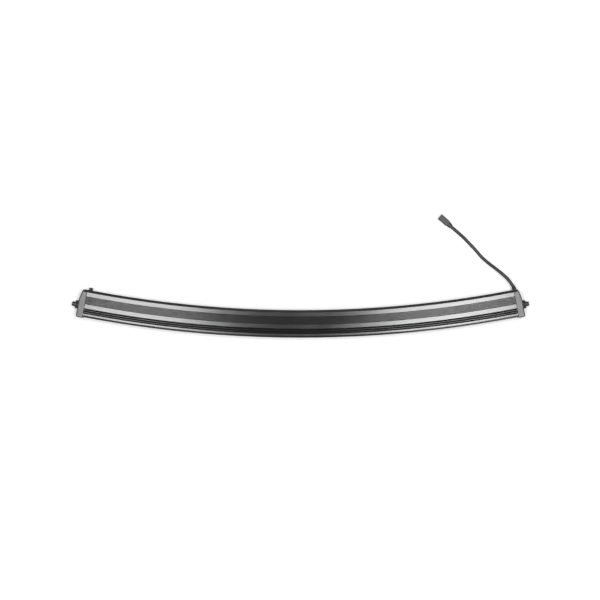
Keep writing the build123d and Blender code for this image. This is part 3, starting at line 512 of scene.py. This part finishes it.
def woven(name, color):
    """Thin fibrous membrane."""
    material, tree, shader = new_material(name)
    fibres = wire(tree, "ShaderNodeTexVoronoi", {"Vector": object_place(tree), "Scale": 4200.0},
                  feature="DISTANCE_TO_EDGE").outputs["Distance"]
    mask = ranged(tree, fibres, 0.0, 0.25)
    tint = mixed(tree, mask, opaque(color), opaque([value * 0.72 for value in color]))
    feed(tree, shader, {"Base Color": tint, "Roughness": ranged(tree, mask, 0.0, 1.0, 0.7, 0.95)})
    bumped(tree, shader, mask, 0.5, 0.00005)
    return material


def wound_copper(name, color):
    """Enamelled copper: metal under a clear lacquer coat."""
    material = bare_metal(name, color, [value * 0.6 for value in color], 0.28, scale=900.0)
    material.node_tree.nodes["Principled BSDF"].inputs["Coat Weight"].default_value = 0.7
    return material


def finish(name):
    """The material of one slot, made the first time it is asked for."""
    made = bpy.data.materials.get(f"finish_{name}")
    if made:
        return made
    chosen = bpy.context.scene.light_bar_finish
    coat = tuple(chosen.coat_color)
    gloss = chosen.coat_roughness
    rubber = tuple(chosen.rubber_color)
    recipes = {
        # The housing's grooves get painted shade.
        "anodised_housing": (coated_metal, dict(color=coat, roughness=gloss, lines=0.6, shade_grooves=True)),
        "end_cap_coat": (coated_metal, dict(color=coat, roughness=gloss + 0.14, peel=0.00003)),
        "bezel": (coated_metal, dict(color=coat, roughness=gloss + 0.02, lines=0.4)),
        "black_screws": (bare_metal, dict(
            color=(0.05, 0.05, 0.052), stain=(0.03, 0.028, 0.026), roughness=0.34)),
        "black_hardware": (bare_metal, dict(
            color=(0.055, 0.055, 0.058), stain=(0.03, 0.03, 0.03), roughness=0.30)),
        "plated_screws": (bare_metal, dict(
            color=(0.62, 0.62, 0.63), stain=(0.45, 0.43, 0.38), roughness=0.26)),
        "capacitor": (bare_metal, dict(color=(0.78, 0.79, 0.80), stain=(0.6, 0.6, 0.6), roughness=0.22)),
        "contact": (bare_metal, dict(color=(0.80, 0.72, 0.55), stain=(0.6, 0.5, 0.33), roughness=0.2)),
        "coil": (wound_copper, dict(color=(0.72, 0.33, 0.14))),
        "reflector": (mirror_cup, {}),
        "lens": (clear, dict(color=tuple(chosen.lens_color), ior=1.58)),
        "emitter_dome": (clear, dict(color=(0.98, 0.97, 0.92), ior=1.41)),
        "led_board": (solder_mask, dict(color=(0.84, 0.85, 0.83))),
        "driver_board": (solder_mask, dict(color=(0.015, 0.14, 0.05))),
        "membrane": (woven, dict(color=(0.86, 0.86, 0.85))),
        "gasket_rubber": (moulded, dict(color=rubber, roughness=0.62)),
        "washer_rubber": (moulded, dict(color=rubber, roughness=0.58, scale=1900.0, depth=0.00008)),
        "cable_jacket": (moulded, dict(
            color=(0.024, 0.024, 0.025), roughness=0.42, scale=1400.0, depth=0.00005)),
        "black_nylon": (moulded, dict(color=(0.026, 0.026, 0.027), roughness=0.48, scale=3000.0)),
        "component_plastic": (moulded, dict(color=(0.035, 0.035, 0.036), roughness=0.45, scale=4200.0)),
        "plug_lock": (moulded, dict(color=(0.70, 0.20, 0.025), roughness=0.42)),
        "emitter": (moulded, dict(color=(0.80, 0.78, 0.70), roughness=0.35)),
        "emitter_phosphor": (moulded, dict(color=tuple(chosen.phosphor_color), roughness=0.55, scale=9000.0)),
        "thermal_pad": (moulded, dict(
            color=(0.36, 0.43, 0.50), roughness=0.75, scale=1500.0, depth=0.00010, mottle=0.4)),
        "lead_insulation": (moulded, dict(
            color=(0.42, 0.020, 0.018), roughness=0.38, scale=1200.0, depth=0.00002)),
    }
    build, values = recipes[name]
    return build(f"finish_{name}", **values)


# ---------------------------------------------------------------- mesh helpers
def lathe(rings, steps):
    """A closed shape turned about Z, from (radius, height) rings. A radius may be a function of the turn."""
    made = bmesh.new()
    rows = []
    for radius, height in rings:
        if radius == 0:
            rows.append([made.verts.new((0, 0, height))])
            continue
        row = []
        for step in range(steps):
            turn = 2 * math.pi * step / steps
            reach = radius(turn) if callable(radius) else radius
            row.append(made.verts.new((reach * math.cos(turn), reach * math.sin(turn), height)))
        rows.append(row)
    for lower, upper in zip(rows, rows[1:]):
        for step in range(steps):
            beside = (step + 1) % steps
            corners = [lower[step % len(lower)], lower[beside % len(lower)],
                       upper[beside % len(upper)], upper[step % len(upper)]]
            made.faces.new(list(dict.fromkeys(corners)))
    return made


def skinned(rows):
    """A closed skin through rows of points, with both ends filled."""
    made = bmesh.new()
    loops = [[made.verts.new(point) for point in row] for row in rows]
    for lower, upper in zip(loops, loops[1:]):
        for step in range(len(lower)):
            beside = (step + 1) % len(lower)
            made.faces.new((lower[step], lower[beside], upper[beside], upper[step]))
    made.faces.new(list(reversed(loops[0])))
    made.faces.new(loops[-1])
    return made


def hexagon(across_flats):
    """Radius of a hexagon at each turn."""
    sixth = math.pi / 3
    return lambda turn: across_flats / 2 / math.cos((turn + sixth / 2) % sixth - sixth / 2)


def to_mesh(name, made, sharp_degrees=35.0):
    """Turns bmesh data into a smooth-shaded mesh with its corners kept sharp."""
    mesh = bpy.data.meshes.new(name)
    made.to_mesh(mesh)
    made.free()
    mesh.shade_smooth()
    mesh.set_sharp_from_angle(angle=math.radians(sharp_degrees))
    return mesh


def new_object(name, data):
    thing = bpy.data.objects.new(name, data)
    bpy.context.scene.collection.objects.link(thing)
    return thing


def facing(origin, direction, upward=(0, 0, 1)):
    """Matrix that takes local Z to a direction and local X as near as it can to another."""
    z_axis = Vector(direction).normalized()
    x_axis = (Vector(upward) - z_axis * z_axis.dot(Vector(upward))).normalized()
    y_axis = z_axis.cross(x_axis)
    return Matrix.Translation(origin) @ Matrix((x_axis, y_axis, z_axis)).transposed().to_4x4()


def islands(node):
    """Lowest and highest corner of each separate solid in a CAD node, in the order of their vertices."""
    made = bmesh.new()
    made.from_mesh(frame["nodes"][node].data)
    bmesh.ops.remove_doubles(made, verts=made.verts, dist=1e-6)
    left = set(made.verts)
    boxes = []
    for first in made.verts:
        if first not in left:
            continue
        left.remove(first)
        stack = [first]
        members = [first]
        while stack:
            for edge in stack.pop().link_edges:
                for vertex in edge.verts:
                    if vertex in left:
                        left.remove(vertex)
                        stack.append(vertex)
                        members.append(vertex)
        places = [vertex.co for vertex in members]
        low = Vector([min(place[axis] for place in places) for axis in range(3)])
        high = Vector([max(place[axis] for place in places) for axis in range(3)])
        boxes.append((low, high))
    made.free()
    return boxes


def front_direction(place):
    """Unit vector out of the bar's front face, from the arc's centre through a place."""
    outward = Vector((place.x, place.y, 0)) - ARC_CENTRE
    return outward.normalized()


def finished(piece, slot, body, *nodes):
    """Puts a piece on its body, in place of its CAD nodes; the slot it is given is not used."""
    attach(piece, body)
    if nodes:
        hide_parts(*nodes)
    return piece


# ---------------------------------------------------------------- geometry node helpers
def new_tree(name, inputs):
    """An empty geometry tree that takes and gives geometry, with more named inputs."""
    kinds = {"value": "NodeSocketFloat", "count": "NodeSocketInt", "object": "NodeSocketObject",
             "material": "NodeSocketMaterial"}
    tree = bpy.data.node_groups.new(name, "GeometryNodeTree")
    tree.interface.new_socket(name="Geometry", in_out="INPUT", socket_type="NodeSocketGeometry")
    for label, kind in inputs:
        tree.interface.new_socket(name=label, in_out="INPUT", socket_type=kinds[kind])
    tree.interface.new_socket(name="Geometry", in_out="OUTPUT", socket_type="NodeSocketGeometry")
    return tree, tree.nodes.new("NodeGroupInput").outputs, tree.nodes.new("NodeGroupOutput").inputs


def closed_tree(tree, made, geometry, material):
    """Ends a tree in plain geometry with its material."""
    real = wire(tree, "GeometryNodeRealizeInstances", {0: geometry}).outputs[0]
    tree.links.new(coloured(tree, real, material), made["Geometry"])


def grown(name, mesh, tree, values):
    """Runs a tree on a mesh and gives the result as a plain object."""
    source = new_object(f"{name}_source", mesh)
    modifier = source.modifiers.new(name, "NODES")
    modifier.node_group = tree
    for socket in tree.interface.items_tree:
        if socket.item_type == "SOCKET" and socket.in_out == "INPUT" and socket.name in values:
            modifier[socket.identifier] = values[socket.name]
    source.update_tag()
    bpy.context.view_layer.update()
    evaluated = source.evaluated_get(bpy.context.evaluated_depsgraph_get())
    plain = bpy.data.meshes.new_from_object(evaluated)
    plain.name = name
    bpy.data.objects.remove(source)
    return new_object(name, plain)


def lifted(tree, geometry, height):
    """Geometry moved up."""
    rise = wire(tree, "ShaderNodeCombineXYZ", {"Z": height}).outputs[0]
    return wire(tree, "GeometryNodeTransform", {"Geometry": geometry, "Translation": rise}).outputs[0]


def square_box(tree, side, thickness):
    """A box about its own middle."""
    size = wire(tree, "ShaderNodeCombineXYZ", {"X": side, "Y": side, "Z": thickness}).outputs[0]
    return wire(tree, "GeometryNodeMeshCube", {"Size": size}).outputs[0]


def coloured(tree, geometry, material):
    return wire(tree, "GeometryNodeSetMaterial", {0: geometry, "Material": material}).outputs[0]


def joined(tree, *parts):
    together = wire(tree, "GeometryNodeJoinGeometry")
    for part in parts:
        tree.links.new(part, together.inputs[0])
    return together.outputs[0]


def aim(tree):
    """Rotation that turns Z to each seat's own direction."""
    way = wire(tree, "GeometryNodeInputNamedAttribute", {"Name": "facing"}, data_type="FLOAT_VECTOR")
    return wire(tree, "FunctionNodeAlignRotationToVector", {"Vector": way.outputs[0]}, axis="Z").outputs[0]


def seated_pieces_tree():
    """Copies one piece onto seat points, each facing its own way and turned at random about its axis."""
    tree, given, made = new_tree("Seated Pieces", [
        ("Piece", "object"), ("Turn Spread", "value"), ("Seed", "count"), ("Material", "material")])
    piece = wire(tree, "GeometryNodeObjectInfo", {"Object": given["Piece"]}).outputs["Geometry"]
    chance = wire(tree, "FunctionNodeRandomValue",
                  {"Min": 0.0, "Max": given["Turn Spread"], "Seed": given["Seed"]}, data_type="FLOAT")
    turn = wire(tree, "FunctionNodeAxisAngleToRotation", {"Axis": (0, 0, 1), "Angle": chance.outputs[1]})
    turned = wire(tree, "FunctionNodeRotateRotation",
                  {"Rotation": aim(tree), "Rotate By": turn.outputs[0]}, rotation_space="LOCAL")
    copies = wire(tree, "GeometryNodeInstanceOnPoints",
                  {"Points": given["Geometry"], "Instance": piece, "Rotation": turned.outputs[0]})
    closed_tree(tree, made, copies.outputs[0], given["Material"])
    return tree


def ring_of_ribs_tree():
    """A ring of ribs standing on a turned body, joined to it."""
    tree, given, made = new_tree("Ring of Ribs", [
        ("Count", "count"), ("Ring Radius", "value"), ("Rib Radius", "value"), ("Rib Length", "value"),
        ("Start", "value"), ("Material", "material")])
    ring = wire(tree, "GeometryNodeMeshCircle", {"Vertices": given["Count"], "Radius": given["Ring Radius"]})
    rib = wire(tree, "GeometryNodeMeshCylinder",
               {"Vertices": 10, "Radius": given["Rib Radius"], "Depth": given["Rib Length"]})
    copies = wire(tree, "GeometryNodeInstanceOnPoints",
                  {"Points": ring.outputs[0], "Instance": rib.outputs[0]}).outputs[0]
    middle = calc(tree, "MULTIPLY_ADD", given["Rib Length"], 0.5, given["Start"])
    both = joined(tree, lifted(tree, copies, middle), given["Geometry"])
    closed_tree(tree, made, both, given["Material"])
    return tree


def emitter_tree():
    """A lamp chip on each seat: ceramic base, phosphor square and clear dome."""
    tree, given, made = new_tree("Emitter Packages", [
        ("Side", "value"), ("Thickness", "value"), ("Dome Radius", "value"), ("Chip Thickness", "value"),
        ("Gap", "value"), ("Base Material", "material"), ("Phosphor Material", "material"),
        ("Dome Material", "material")])
    thickness = given["Thickness"]
    base = square_box(tree, given["Side"], thickness)
    base = coloured(tree, lifted(tree, base, calc(tree, "MULTIPLY", thickness, 0.5)), given["Base Material"])

    chip = square_box(tree, calc(tree, "MULTIPLY", given["Dome Radius"], 1.1), given["Chip Thickness"])
    half = calc(tree, "MULTIPLY_ADD", given["Chip Thickness"], 0.5, given["Gap"])
    chip = coloured(tree, lifted(tree, chip, calc(tree, "ADD", thickness, half)), given["Phosphor Material"])

    ball = wire(tree, "GeometryNodeMeshUVSphere",
                {"Segments": 24, "Rings": 14, "Radius": given["Dome Radius"]}).outputs[0]
    place = wire(tree, "GeometryNodeInputPosition").outputs[0]
    split = wire(tree, "ShaderNodeSeparateXYZ", {0: place}).outputs
    height = calc(tree, "MAXIMUM", split["Z"], calc(tree, "MULTIPLY", given["Gap"], 2.0))
    level = wire(tree, "ShaderNodeCombineXYZ", {"X": split["X"], "Y": split["Y"], "Z": height}).outputs[0]
    dome = wire(tree, "GeometryNodeSetPosition", {"Geometry": ball, "Position": level}).outputs[0]
    dome = wire(tree, "GeometryNodeSetShadeSmooth", {"Geometry": lifted(tree, dome, thickness)}).outputs[0]
    package = joined(tree, base, chip, coloured(tree, dome, given["Dome Material"]))

    copies = wire(tree, "GeometryNodeInstanceOnPoints", {
        "Points": given["Geometry"], "Instance": package, "Rotation": aim(tree)}).outputs[0]
    real = wire(tree, "GeometryNodeRealizeInstances", {0: copies}).outputs[0]
    tree.links.new(real, made["Geometry"])
    return tree


def seat_points(name, seats):
    """A mesh of loose points, each with the direction it faces."""
    mesh = bpy.data.meshes.new(name)
    mesh.from_pydata([place for place, way in seats], [], [])
    ways = mesh.attributes.new("facing", "FLOAT_VECTOR", "POINT")
    for index, (place, way) in enumerate(seats):
        ways.data[index].vector = way
    return mesh


def quarter_round(radius, height, rounding, parts):
    """Rings of a rounded top edge, from the side of a turned body to its top face."""
    turns = [math.pi / 2 * part / parts for part in range(parts + 1)]
    return [(radius - rounding * (1 - math.cos(turn)), height - rounding * (1 - math.sin(turn)))
            for turn in turns]


def socket_screw(name, head_radius, head_height, shank_radius, shank_length, socket):
    """A socket-head screw along Z, with its head's top at height 0 and a plain shank below."""
    rounding = head_radius * 0.16
    key = hexagon(socket)
    seat = -head_height
    tip = seat - shank_length
    rings = [(0, tip), (shank_radius, tip), (shank_radius, seat), (head_radius - rounding / 2, seat),
             (head_radius, seat + rounding / 2), *quarter_round(head_radius, 0.0, rounding, 4),
             (socket * 0.62, 0.0), (key, -socket * 0.06), (key, seat * 0.6), (0, seat * 0.72)]
    return new_object(name, to_mesh(name, lathe(rings, 36)))


def seated_screws(name, node, seats, seed, *screw_sizes):
    """Screws on all of a CAD node's seats, in its place."""
    screw = socket_screw(f"{name}_screw", *screw_sizes)
    values = {"Piece": screw, "Turn Spread": math.pi / 3, "Seed": seed, "Material": finish("black_screws")}
    group = grown(name, seat_points(f"{name}_seats", seats), seated_pieces_tree(), values)
    bpy.data.objects.remove(screw)
    finished(group, "black_screws", "housing", node)


def at_both_ends(piece, made, body, node, washers, sharp_degrees):
    """The same black piece on both mounting bolts' axes, so many washers out from the bar."""
    thickness = bpy.context.scene.light_bar_sizes.washer_thickness
    for side in SIDES:
        axis = Vector(JOINTS[f"{side}_bolt_turn"]["axis"])
        pad = Vector(MOUNTS[f"{side}_bracket_joint"]["pos_m"])
        mesh = to_mesh(f"{side}_{piece}", made(), sharp_degrees)
        mesh.transform(facing(pad + axis * washers * thickness, axis))
        mesh.materials.append(finish("black_hardware"))
        fitted = new_object(f"{side}_{piece}", mesh)
        finished(fitted, "black_hardware", f"{side}_{body}", f"{side}_{node}")


def thread(radius, pitch, height, fade):
    """Radius of a screw thread at a height, as a function of the turn."""
    depth = 0.55 * pitch * fade

    def reach(turn):
        share = (height / pitch - turn / (2 * math.pi)) % 1.0
        return radius - depth * (1 - abs(2 * share - 1))

    return reach


# ---------------------------------------------------------------- operators
class LIGHTBAR_OT_studio(bpy.types.Operator):
    """Camera straight above the bar, pale floor, soft panels and an even sky"""

    bl_idname = "lightbar.studio"
    bl_label = "Studio"

    def execute(self, context):
        scene = context.scene
        studio = scene.light_bar_studio
        scene.view_settings.view_transform = "Standard"
        self.add_camera(scene, studio)
        self.add_floor(studio)
        overhead = BAR_TOP + studio.camera_height - 0.05
        bar = Vector((0, 0.05, MID_HEIGHT))
        self.add_panel("left_panel", (-0.93, 0.25, overhead), (0.78, 2.4), studio.left_radiance)
        self.add_panel("right_panel", (0.86, 0.25, overhead), (0.80, 2.4), studio.right_radiance)
        self.add_panel("front_right_panel", (2.4, -4.6, 3.9), (2.6, 2.0), studio.front_right_radiance, bar)
        self.add_panel("front_left_panel", (-2.0, -4.6, 3.9), (3.4, 2.0), studio.front_left_radiance, bar)
        self.add_panel("back_panel", (-0.8, 4.8, 3.0), (4.5, 1.6), studio.back_radiance, bar)
        self.add_sky(scene, studio)
        return {"FINISHED"}

    def add_camera(self, scene, studio):
        camera = bpy.data.cameras.new("camera")
        camera.sensor_width = 36.0
        camera.lens = camera.sensor_width * studio.camera_height / studio.view_width
        camera.clip_end = 200.0
        eye = new_object("camera", camera)
        eye.location = (-0.0016, 0.0757, BAR_TOP + studio.camera_height)
        scene.camera = eye

    def add_floor(self, studio):
        """Square of pale paper, just under the bar so that nothing lies in its plane."""
        half = studio.floor_size / 2
        level = -0.0004
        corners = [(-half, -half, level), (half, -half, level), (half, half, level), (-half, half, level)]
        floor = bpy.data.meshes.new("floor")
        floor.from_pydata(corners, [], [(0, 1, 2, 3)])
        ground = new_object("floor", floor)
        material, tree, shader = new_material("floor_paper")
        place = object_place(tree)
        tone = noise(tree, place, 1.5, 2.0)
        paler = opaque([min(1.0, value * 1.02) for value in studio.floor_color])
        tree.links.new(mixed(tree, tone, opaque(studio.floor_color), paler), shader.inputs["Base Color"])
        shader.inputs["Roughness"].default_value = 0.9
        shader.inputs["Specular IOR Level"].default_value = 0.1
        shader.inputs["Emission Color"].default_value = (1.0, 1.0, 1.0, 1.0)
        shader.inputs["Emission Strength"].default_value = studio.floor_glow
        floor.materials.append(material)

    def add_sky(self, scene, studio):
        world = bpy.data.worlds.new("sky")
        world.use_nodes = True
        background = world.node_tree.nodes["Background"]
        background.inputs["Color"].default_value = (1.0, 1.0, 1.0, 1.0)
        background.inputs["Strength"].default_value = studio.sky_strength
        scene.world = world

    def add_panel(self, name, place, size, radiance, target=None):
        """A rectangular soft light that faces the floor, or a target."""
        light = bpy.data.lights.new(name, "AREA")
        light.shape = "RECTANGLE"
        light.size, light.size_y = size
        light.energy = math.pi * light.size * light.size_y * radiance
        lamp = new_object(name, light)
        lamp.location = place
        if target:
            lamp.rotation_euler = (target - Vector(place)).to_track_quat("-Z", "Y").to_euler()
        lamp.visible_camera = False


class LIGHTBAR_OT_power_lead(bpy.types.Operator):
    """Power lead with its ribbed strain relief, down to the plug that lies beside the bar"""

    bl_idname = "lightbar.power_lead"
    bl_label = "Power Lead"

    def execute(self, context):
        curve = bpy.data.curves.new("power_lead", "CURVE")
        curve.dimensions = "3D"
        curve.bevel_depth = LEAD_DIAMETER / 2
        curve.bevel_resolution = 6
        curve.resolution_u = 12
        curve.use_fill_caps = True
        spline = curve.splines.new("NURBS")
        spline.points.add(len(LEAD_ROUTE) - 1)
        for point, place in zip(spline.points, LEAD_ROUTE):
            point.co = (*place, 1.0)
        spline.order_u = 3
        spline.use_endpoint_u = True
        lead = new_object("power_lead", curve)
        curve.materials.append(finish("cable_jacket"))

        tip = Vector(LEAD_ROUTE[0])
        leaning = (Vector(LEAD_ROUTE[1]) - tip).normalized()
        relief = self.strain_relief(context.scene.light_bar_sizes, tip, leaning)
        finished(lead, "cable_jacket", "housing", "power_cable")
        finished(relief, "cable_jacket", "housing", "cable_boot")
        return {"FINISHED"}

    def strain_relief(self, sizes, tip, leaning):
        """Tapered boot from the cap's rear face to the lead, with flex ribs round it."""
        rib_depth = 0.00045
        cap_rear = front_direction(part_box("cable_boot")[0]) * -1
        base = tip - (cap_rear + leaning).normalized() * sizes.relief_length
        steps, rows = 40, 36
        grid = []
        for row in range(rows + 1):
            share = row / rows
            centre = base.lerp(tip, share)
            way = cap_rear.lerp(leaning, share).normalized()
            radius = sizes.relief_base + (sizes.relief_tip - sizes.relief_base) * share
            groove = max(0.0, math.sin(2 * math.pi * sizes.rib_count * share - math.pi / 2))
            radius -= rib_depth * groove
            place = facing(centre, way)
            turns = [2 * math.pi * step / steps for step in range(steps)]
            grid.append([place @ Vector((radius * math.cos(turn), radius * math.sin(turn), 0))
                         for turn in turns])
        relief = new_object("strain_relief", to_mesh("strain_relief", skinned(grid), 50.0))
        relief.data.materials.append(finish("cable_jacket"))
        return relief


class LIGHTBAR_OT_finishes(bpy.types.Operator):
    """Gives every CAD node the finish of its slot"""

    bl_idname = "lightbar.finishes"
    bl_label = "Finishes"

    def execute(self, context):
        for subpart in frame["record"]["subparts"]:
            node = frame["nodes"][subpart["node"]]
            node.data.materials.clear()
            node.data.materials.append(finish(subpart["material_slot"]))
        return {"FINISHED"}


class LIGHTBAR_OT_bezel_screws(bpy.types.Operator):
    """Small socket screws along both bezels"""

    bl_idname = "lightbar.bezel_screws"
    bl_label = "Bezel Screws"

    def execute(self, context):
        sizes = context.scene.light_bar_sizes
        head_top = FRONT_RADIUS - 0.0004
        seats = []
        for low, high in islands("bezel_screws"):
            middle = (low + high) / 2
            way = front_direction(middle)
            seats.append((ARC_CENTRE + way * head_top + Vector((0, 0, middle.z)), way))
        seated_screws("bezel_screw_row", "bezel_screws", seats, 4, sizes.bezel_head_radius,
                      sizes.bezel_head_height, sizes.bezel_shank_radius, sizes.bezel_shank_length,
                      sizes.bezel_socket)
        return {"FINISHED"}


class LIGHTBAR_OT_cap_screws(bpy.types.Operator):
    """Socket screws that hold the end caps, down in their counterbores"""

    bl_idname = "lightbar.cap_screws"
    bl_label = "End-Cap Screws"

    def execute(self, context):
        sizes = context.scene.light_bar_sizes
        ends = [Vector(JOINTS[f"{side}_bolt_turn"]["axis"]) for side in SIDES]
        seats = []
        for low, high in islands("cap_screws"):
            middle = (low + high) / 2
            way = next(end for end in ends if end.x * middle.x > 0)
            seats.append((middle + way * (sizes.cap_head_height + sizes.cap_shank_length) / 2, way))
        seated_screws("cap_screw_set", "cap_screws", seats, 9, sizes.cap_head_radius, sizes.cap_head_height,
                      sizes.cap_shank_radius, sizes.cap_shank_length, sizes.cap_socket)
        return {"FINISHED"}


class LIGHTBAR_OT_mount_bolts(bpy.types.Operator):
    """Knurled socket-head bolts with a real thread, one at each end"""

    bl_idname = "lightbar.mount_bolts"
    bl_label = "Mounting Bolts"

    def execute(self, context):
        at_both_ends("threaded_bolt", self.bolt, "bolt", "mount_bolt", 2, 32.0)
        return {"FINISHED"}

    def bolt(self):
        """Bolt along Z with its head's underside at height 0."""
        sizes = bpy.context.scene.light_bar_sizes
        head, top = sizes.bolt_head_radius, sizes.bolt_head_height
        rounding, edge_inset, knurl_depth = 0.0008, 0.00001, 0.00022
        knurl_start, knurl_end = 0.0008, top - 0.0012
        socket_depth, socket_foot, key_bevel = 0.0045, 0.0055, 0.0004
        key = hexagon(sizes.bolt_socket)

        def knurled(turn):
            return head - knurl_depth * (0.5 - 0.5 * math.cos(turn * sizes.knurl_count))

        rows_per_turn = 8
        thread_end, thread_start = -0.0003, 0.0009 - sizes.bolt_length
        run = thread_end - thread_start
        rows = int(run / sizes.thread_pitch * rows_per_turn)
        rings = [(0, -sizes.bolt_length), (sizes.bolt_radius - 0.0011, -sizes.bolt_length)]
        for row in range(rows + 1):
            height = thread_start + run * row / rows
            fade = min(1.0, (row + 2) / rows_per_turn, (rows - row) / rows_per_turn)
            rings.append((thread(sizes.bolt_radius, sizes.thread_pitch, height, fade), height))
        rings += [(sizes.bolt_radius, 0.0), (head - 0.0007, 0.0), (head - 0.0003, 0.0004),
                  (knurled, knurl_start), (knurled, knurl_end),
                  *quarter_round(head - edge_inset, top, rounding, 5), (0.0037, top), (key, top - key_bevel),
                  (key, top - socket_depth), (0, top - socket_foot)]
        return lathe(rings, sizes.knurl_count * 4)


class LIGHTBAR_OT_spring_washers(bpy.types.Operator):
    """Split spring washers under the bolt heads"""

    bl_idname = "lightbar.spring_washers"
    bl_label = "Spring Washers"

    def execute(self, context):
        at_both_ends("spring_washer", self.washer, "washers", "lock_washer", 1, 40.0)
        return {"FINISHED"}

    def washer(self):
        """Open ring of square wire, cut on the slant and eased at its corners."""
        sizes = bpy.context.scene.light_bar_sizes
        inner, outer, thickness = sizes.spring_inner, sizes.spring_outer, sizes.washer_thickness
        ease, gap, slant, steps = 0.0003, 0.16, 0.10, 72
        corners = [(inner, ease), (inner + ease, 0), (outer - ease, 0), (outer, ease),
                   (outer, thickness - ease), (outer - ease, thickness), (inner + ease, thickness),
                   (inner, thickness - ease)]
        rows = []
        for step in range(steps + 1):
            row = []
            for radius, height in corners:
                turn = gap / 2 + (2 * math.pi - gap) * step / steps + slant * (height / thickness - 0.5)
                row.append((radius * math.cos(turn), radius * math.sin(turn), height))
            rows.append(row)
        made = skinned(rows)
        bmesh.ops.recalc_face_normals(made, faces=made.faces)
        return made


class LIGHTBAR_OT_emitters(bpy.types.Operator):
    """Lamp chips behind the reflector cups"""

    bl_idname = "lightbar.emitters"
    bl_label = "Emitters"

    def execute(self, context):
        sizes = context.scene.light_bar_sizes
        half_height = (sizes.emitter_thickness + sizes.dome_radius) / 2
        seats = []
        for low, high in islands("led_emitters"):
            middle = (low + high) / 2
            way = front_direction(middle)
            seats.append((middle - way * half_height, way))
        values = {"Side": sizes.emitter_side, "Thickness": sizes.emitter_thickness,
                  "Dome Radius": sizes.dome_radius, "Chip Thickness": 0.00016, "Gap": 0.00001,
                  "Base Material": finish("emitter"), "Phosphor Material": finish("emitter_phosphor"),
                  "Dome Material": finish("emitter_dome")}
        lamps = grown("emitter_packages", seat_points("emitter_seats", seats), emitter_tree(), values)
        finished(lamps, "emitter", "housing", "led_emitters")
        return {"FINISHED"}


class LIGHTBAR_OT_breather_cap(bpy.types.Operator):
    """Ribbed cap of the rear breather"""

    bl_idname = "lightbar.breather_cap"
    bl_label = "Breather Cap"

    def execute(self, context):
        sizes = context.scene.light_bar_sizes
        low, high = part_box("breather_knob")
        middle = (low + high) / 2
        rearward = front_direction(middle) * -1
        radius, height = sizes.breather_radius, sizes.breather_height
        bore, rib_start, dish = 0.0041, 0.0004, 0.0004
        rings = [(bore, 0), (radius - 0.0002, 0), (radius, 0.0003), (radius, height - 0.0009),
                 (radius - 0.0003, height - 0.0003), (radius - 0.0010, height), (radius - 0.0016, height),
                 (radius - 0.0020, height - dish), (0, height - dish)]
        values = {"Count": sizes.grip_count, "Ring Radius": radius, "Rib Radius": 0.0002,
                  "Rib Length": height - 0.0014, "Start": rib_start, "Material": finish("black_nylon")}
        body = to_mesh("breather_cap", lathe(rings, 48))
        cap = grown("breather_cap", body, ring_of_ribs_tree(), values)
        cap.data.transform(facing(middle - rearward * height / 2, rearward))
        finished(cap, "black_nylon", "housing", "breather_knob")
        return {"FINISHED"}


BUILD_STEPS = (
    LIGHTBAR_OT_studio,
    LIGHTBAR_OT_power_lead,
    LIGHTBAR_OT_finishes,
    LIGHTBAR_OT_bezel_screws,
    LIGHTBAR_OT_cap_screws,
    LIGHTBAR_OT_mount_bolts,
    LIGHTBAR_OT_spring_washers,
    LIGHTBAR_OT_emitters,
    LIGHTBAR_OT_breather_cap,
)
SETTINGS = {
    "light_bar_sizes": LightBarSizes,
    "light_bar_finish": LightBarFinish,
    "light_bar_studio": LightBarStudio,
}


class LIGHTBAR_PT_build(bpy.types.Panel):
    """Lists the build steps and the settings behind them"""

    bl_idname = "LIGHTBAR_PT_build"
    bl_label = "Light Bar"
    bl_space_type = "VIEW_3D"
    bl_region_type = "UI"
    bl_category = "Light Bar"

    def draw(self, context):
        for step in BUILD_STEPS:
            self.layout.operator(step.bl_idname)
        for name, group in SETTINGS.items():
            column = self.layout.column()
            for setting in group.__annotations__:
                column.prop(getattr(context.scene, name), setting)


CLASSES = (*SETTINGS.values(), *BUILD_STEPS, LIGHTBAR_PT_build)


def register():
    for cls in CLASSES:
        bpy.utils.register_class(cls)
    for name, group in SETTINGS.items():
        setattr(bpy.types.Scene, name, bpy.props.PointerProperty(type=group))


def unregister():
    for name in SETTINGS:
        delattr(bpy.types.Scene, name)
    for cls in reversed(CLASSES):
        bpy.utils.unregister_class(cls)


def main():
    register()
    for step in BUILD_STEPS:
        action = step.bl_idname.partition(".")[2]
        getattr(bpy.ops.lightbar, action)()


if __name__ == "__main__":
    main()
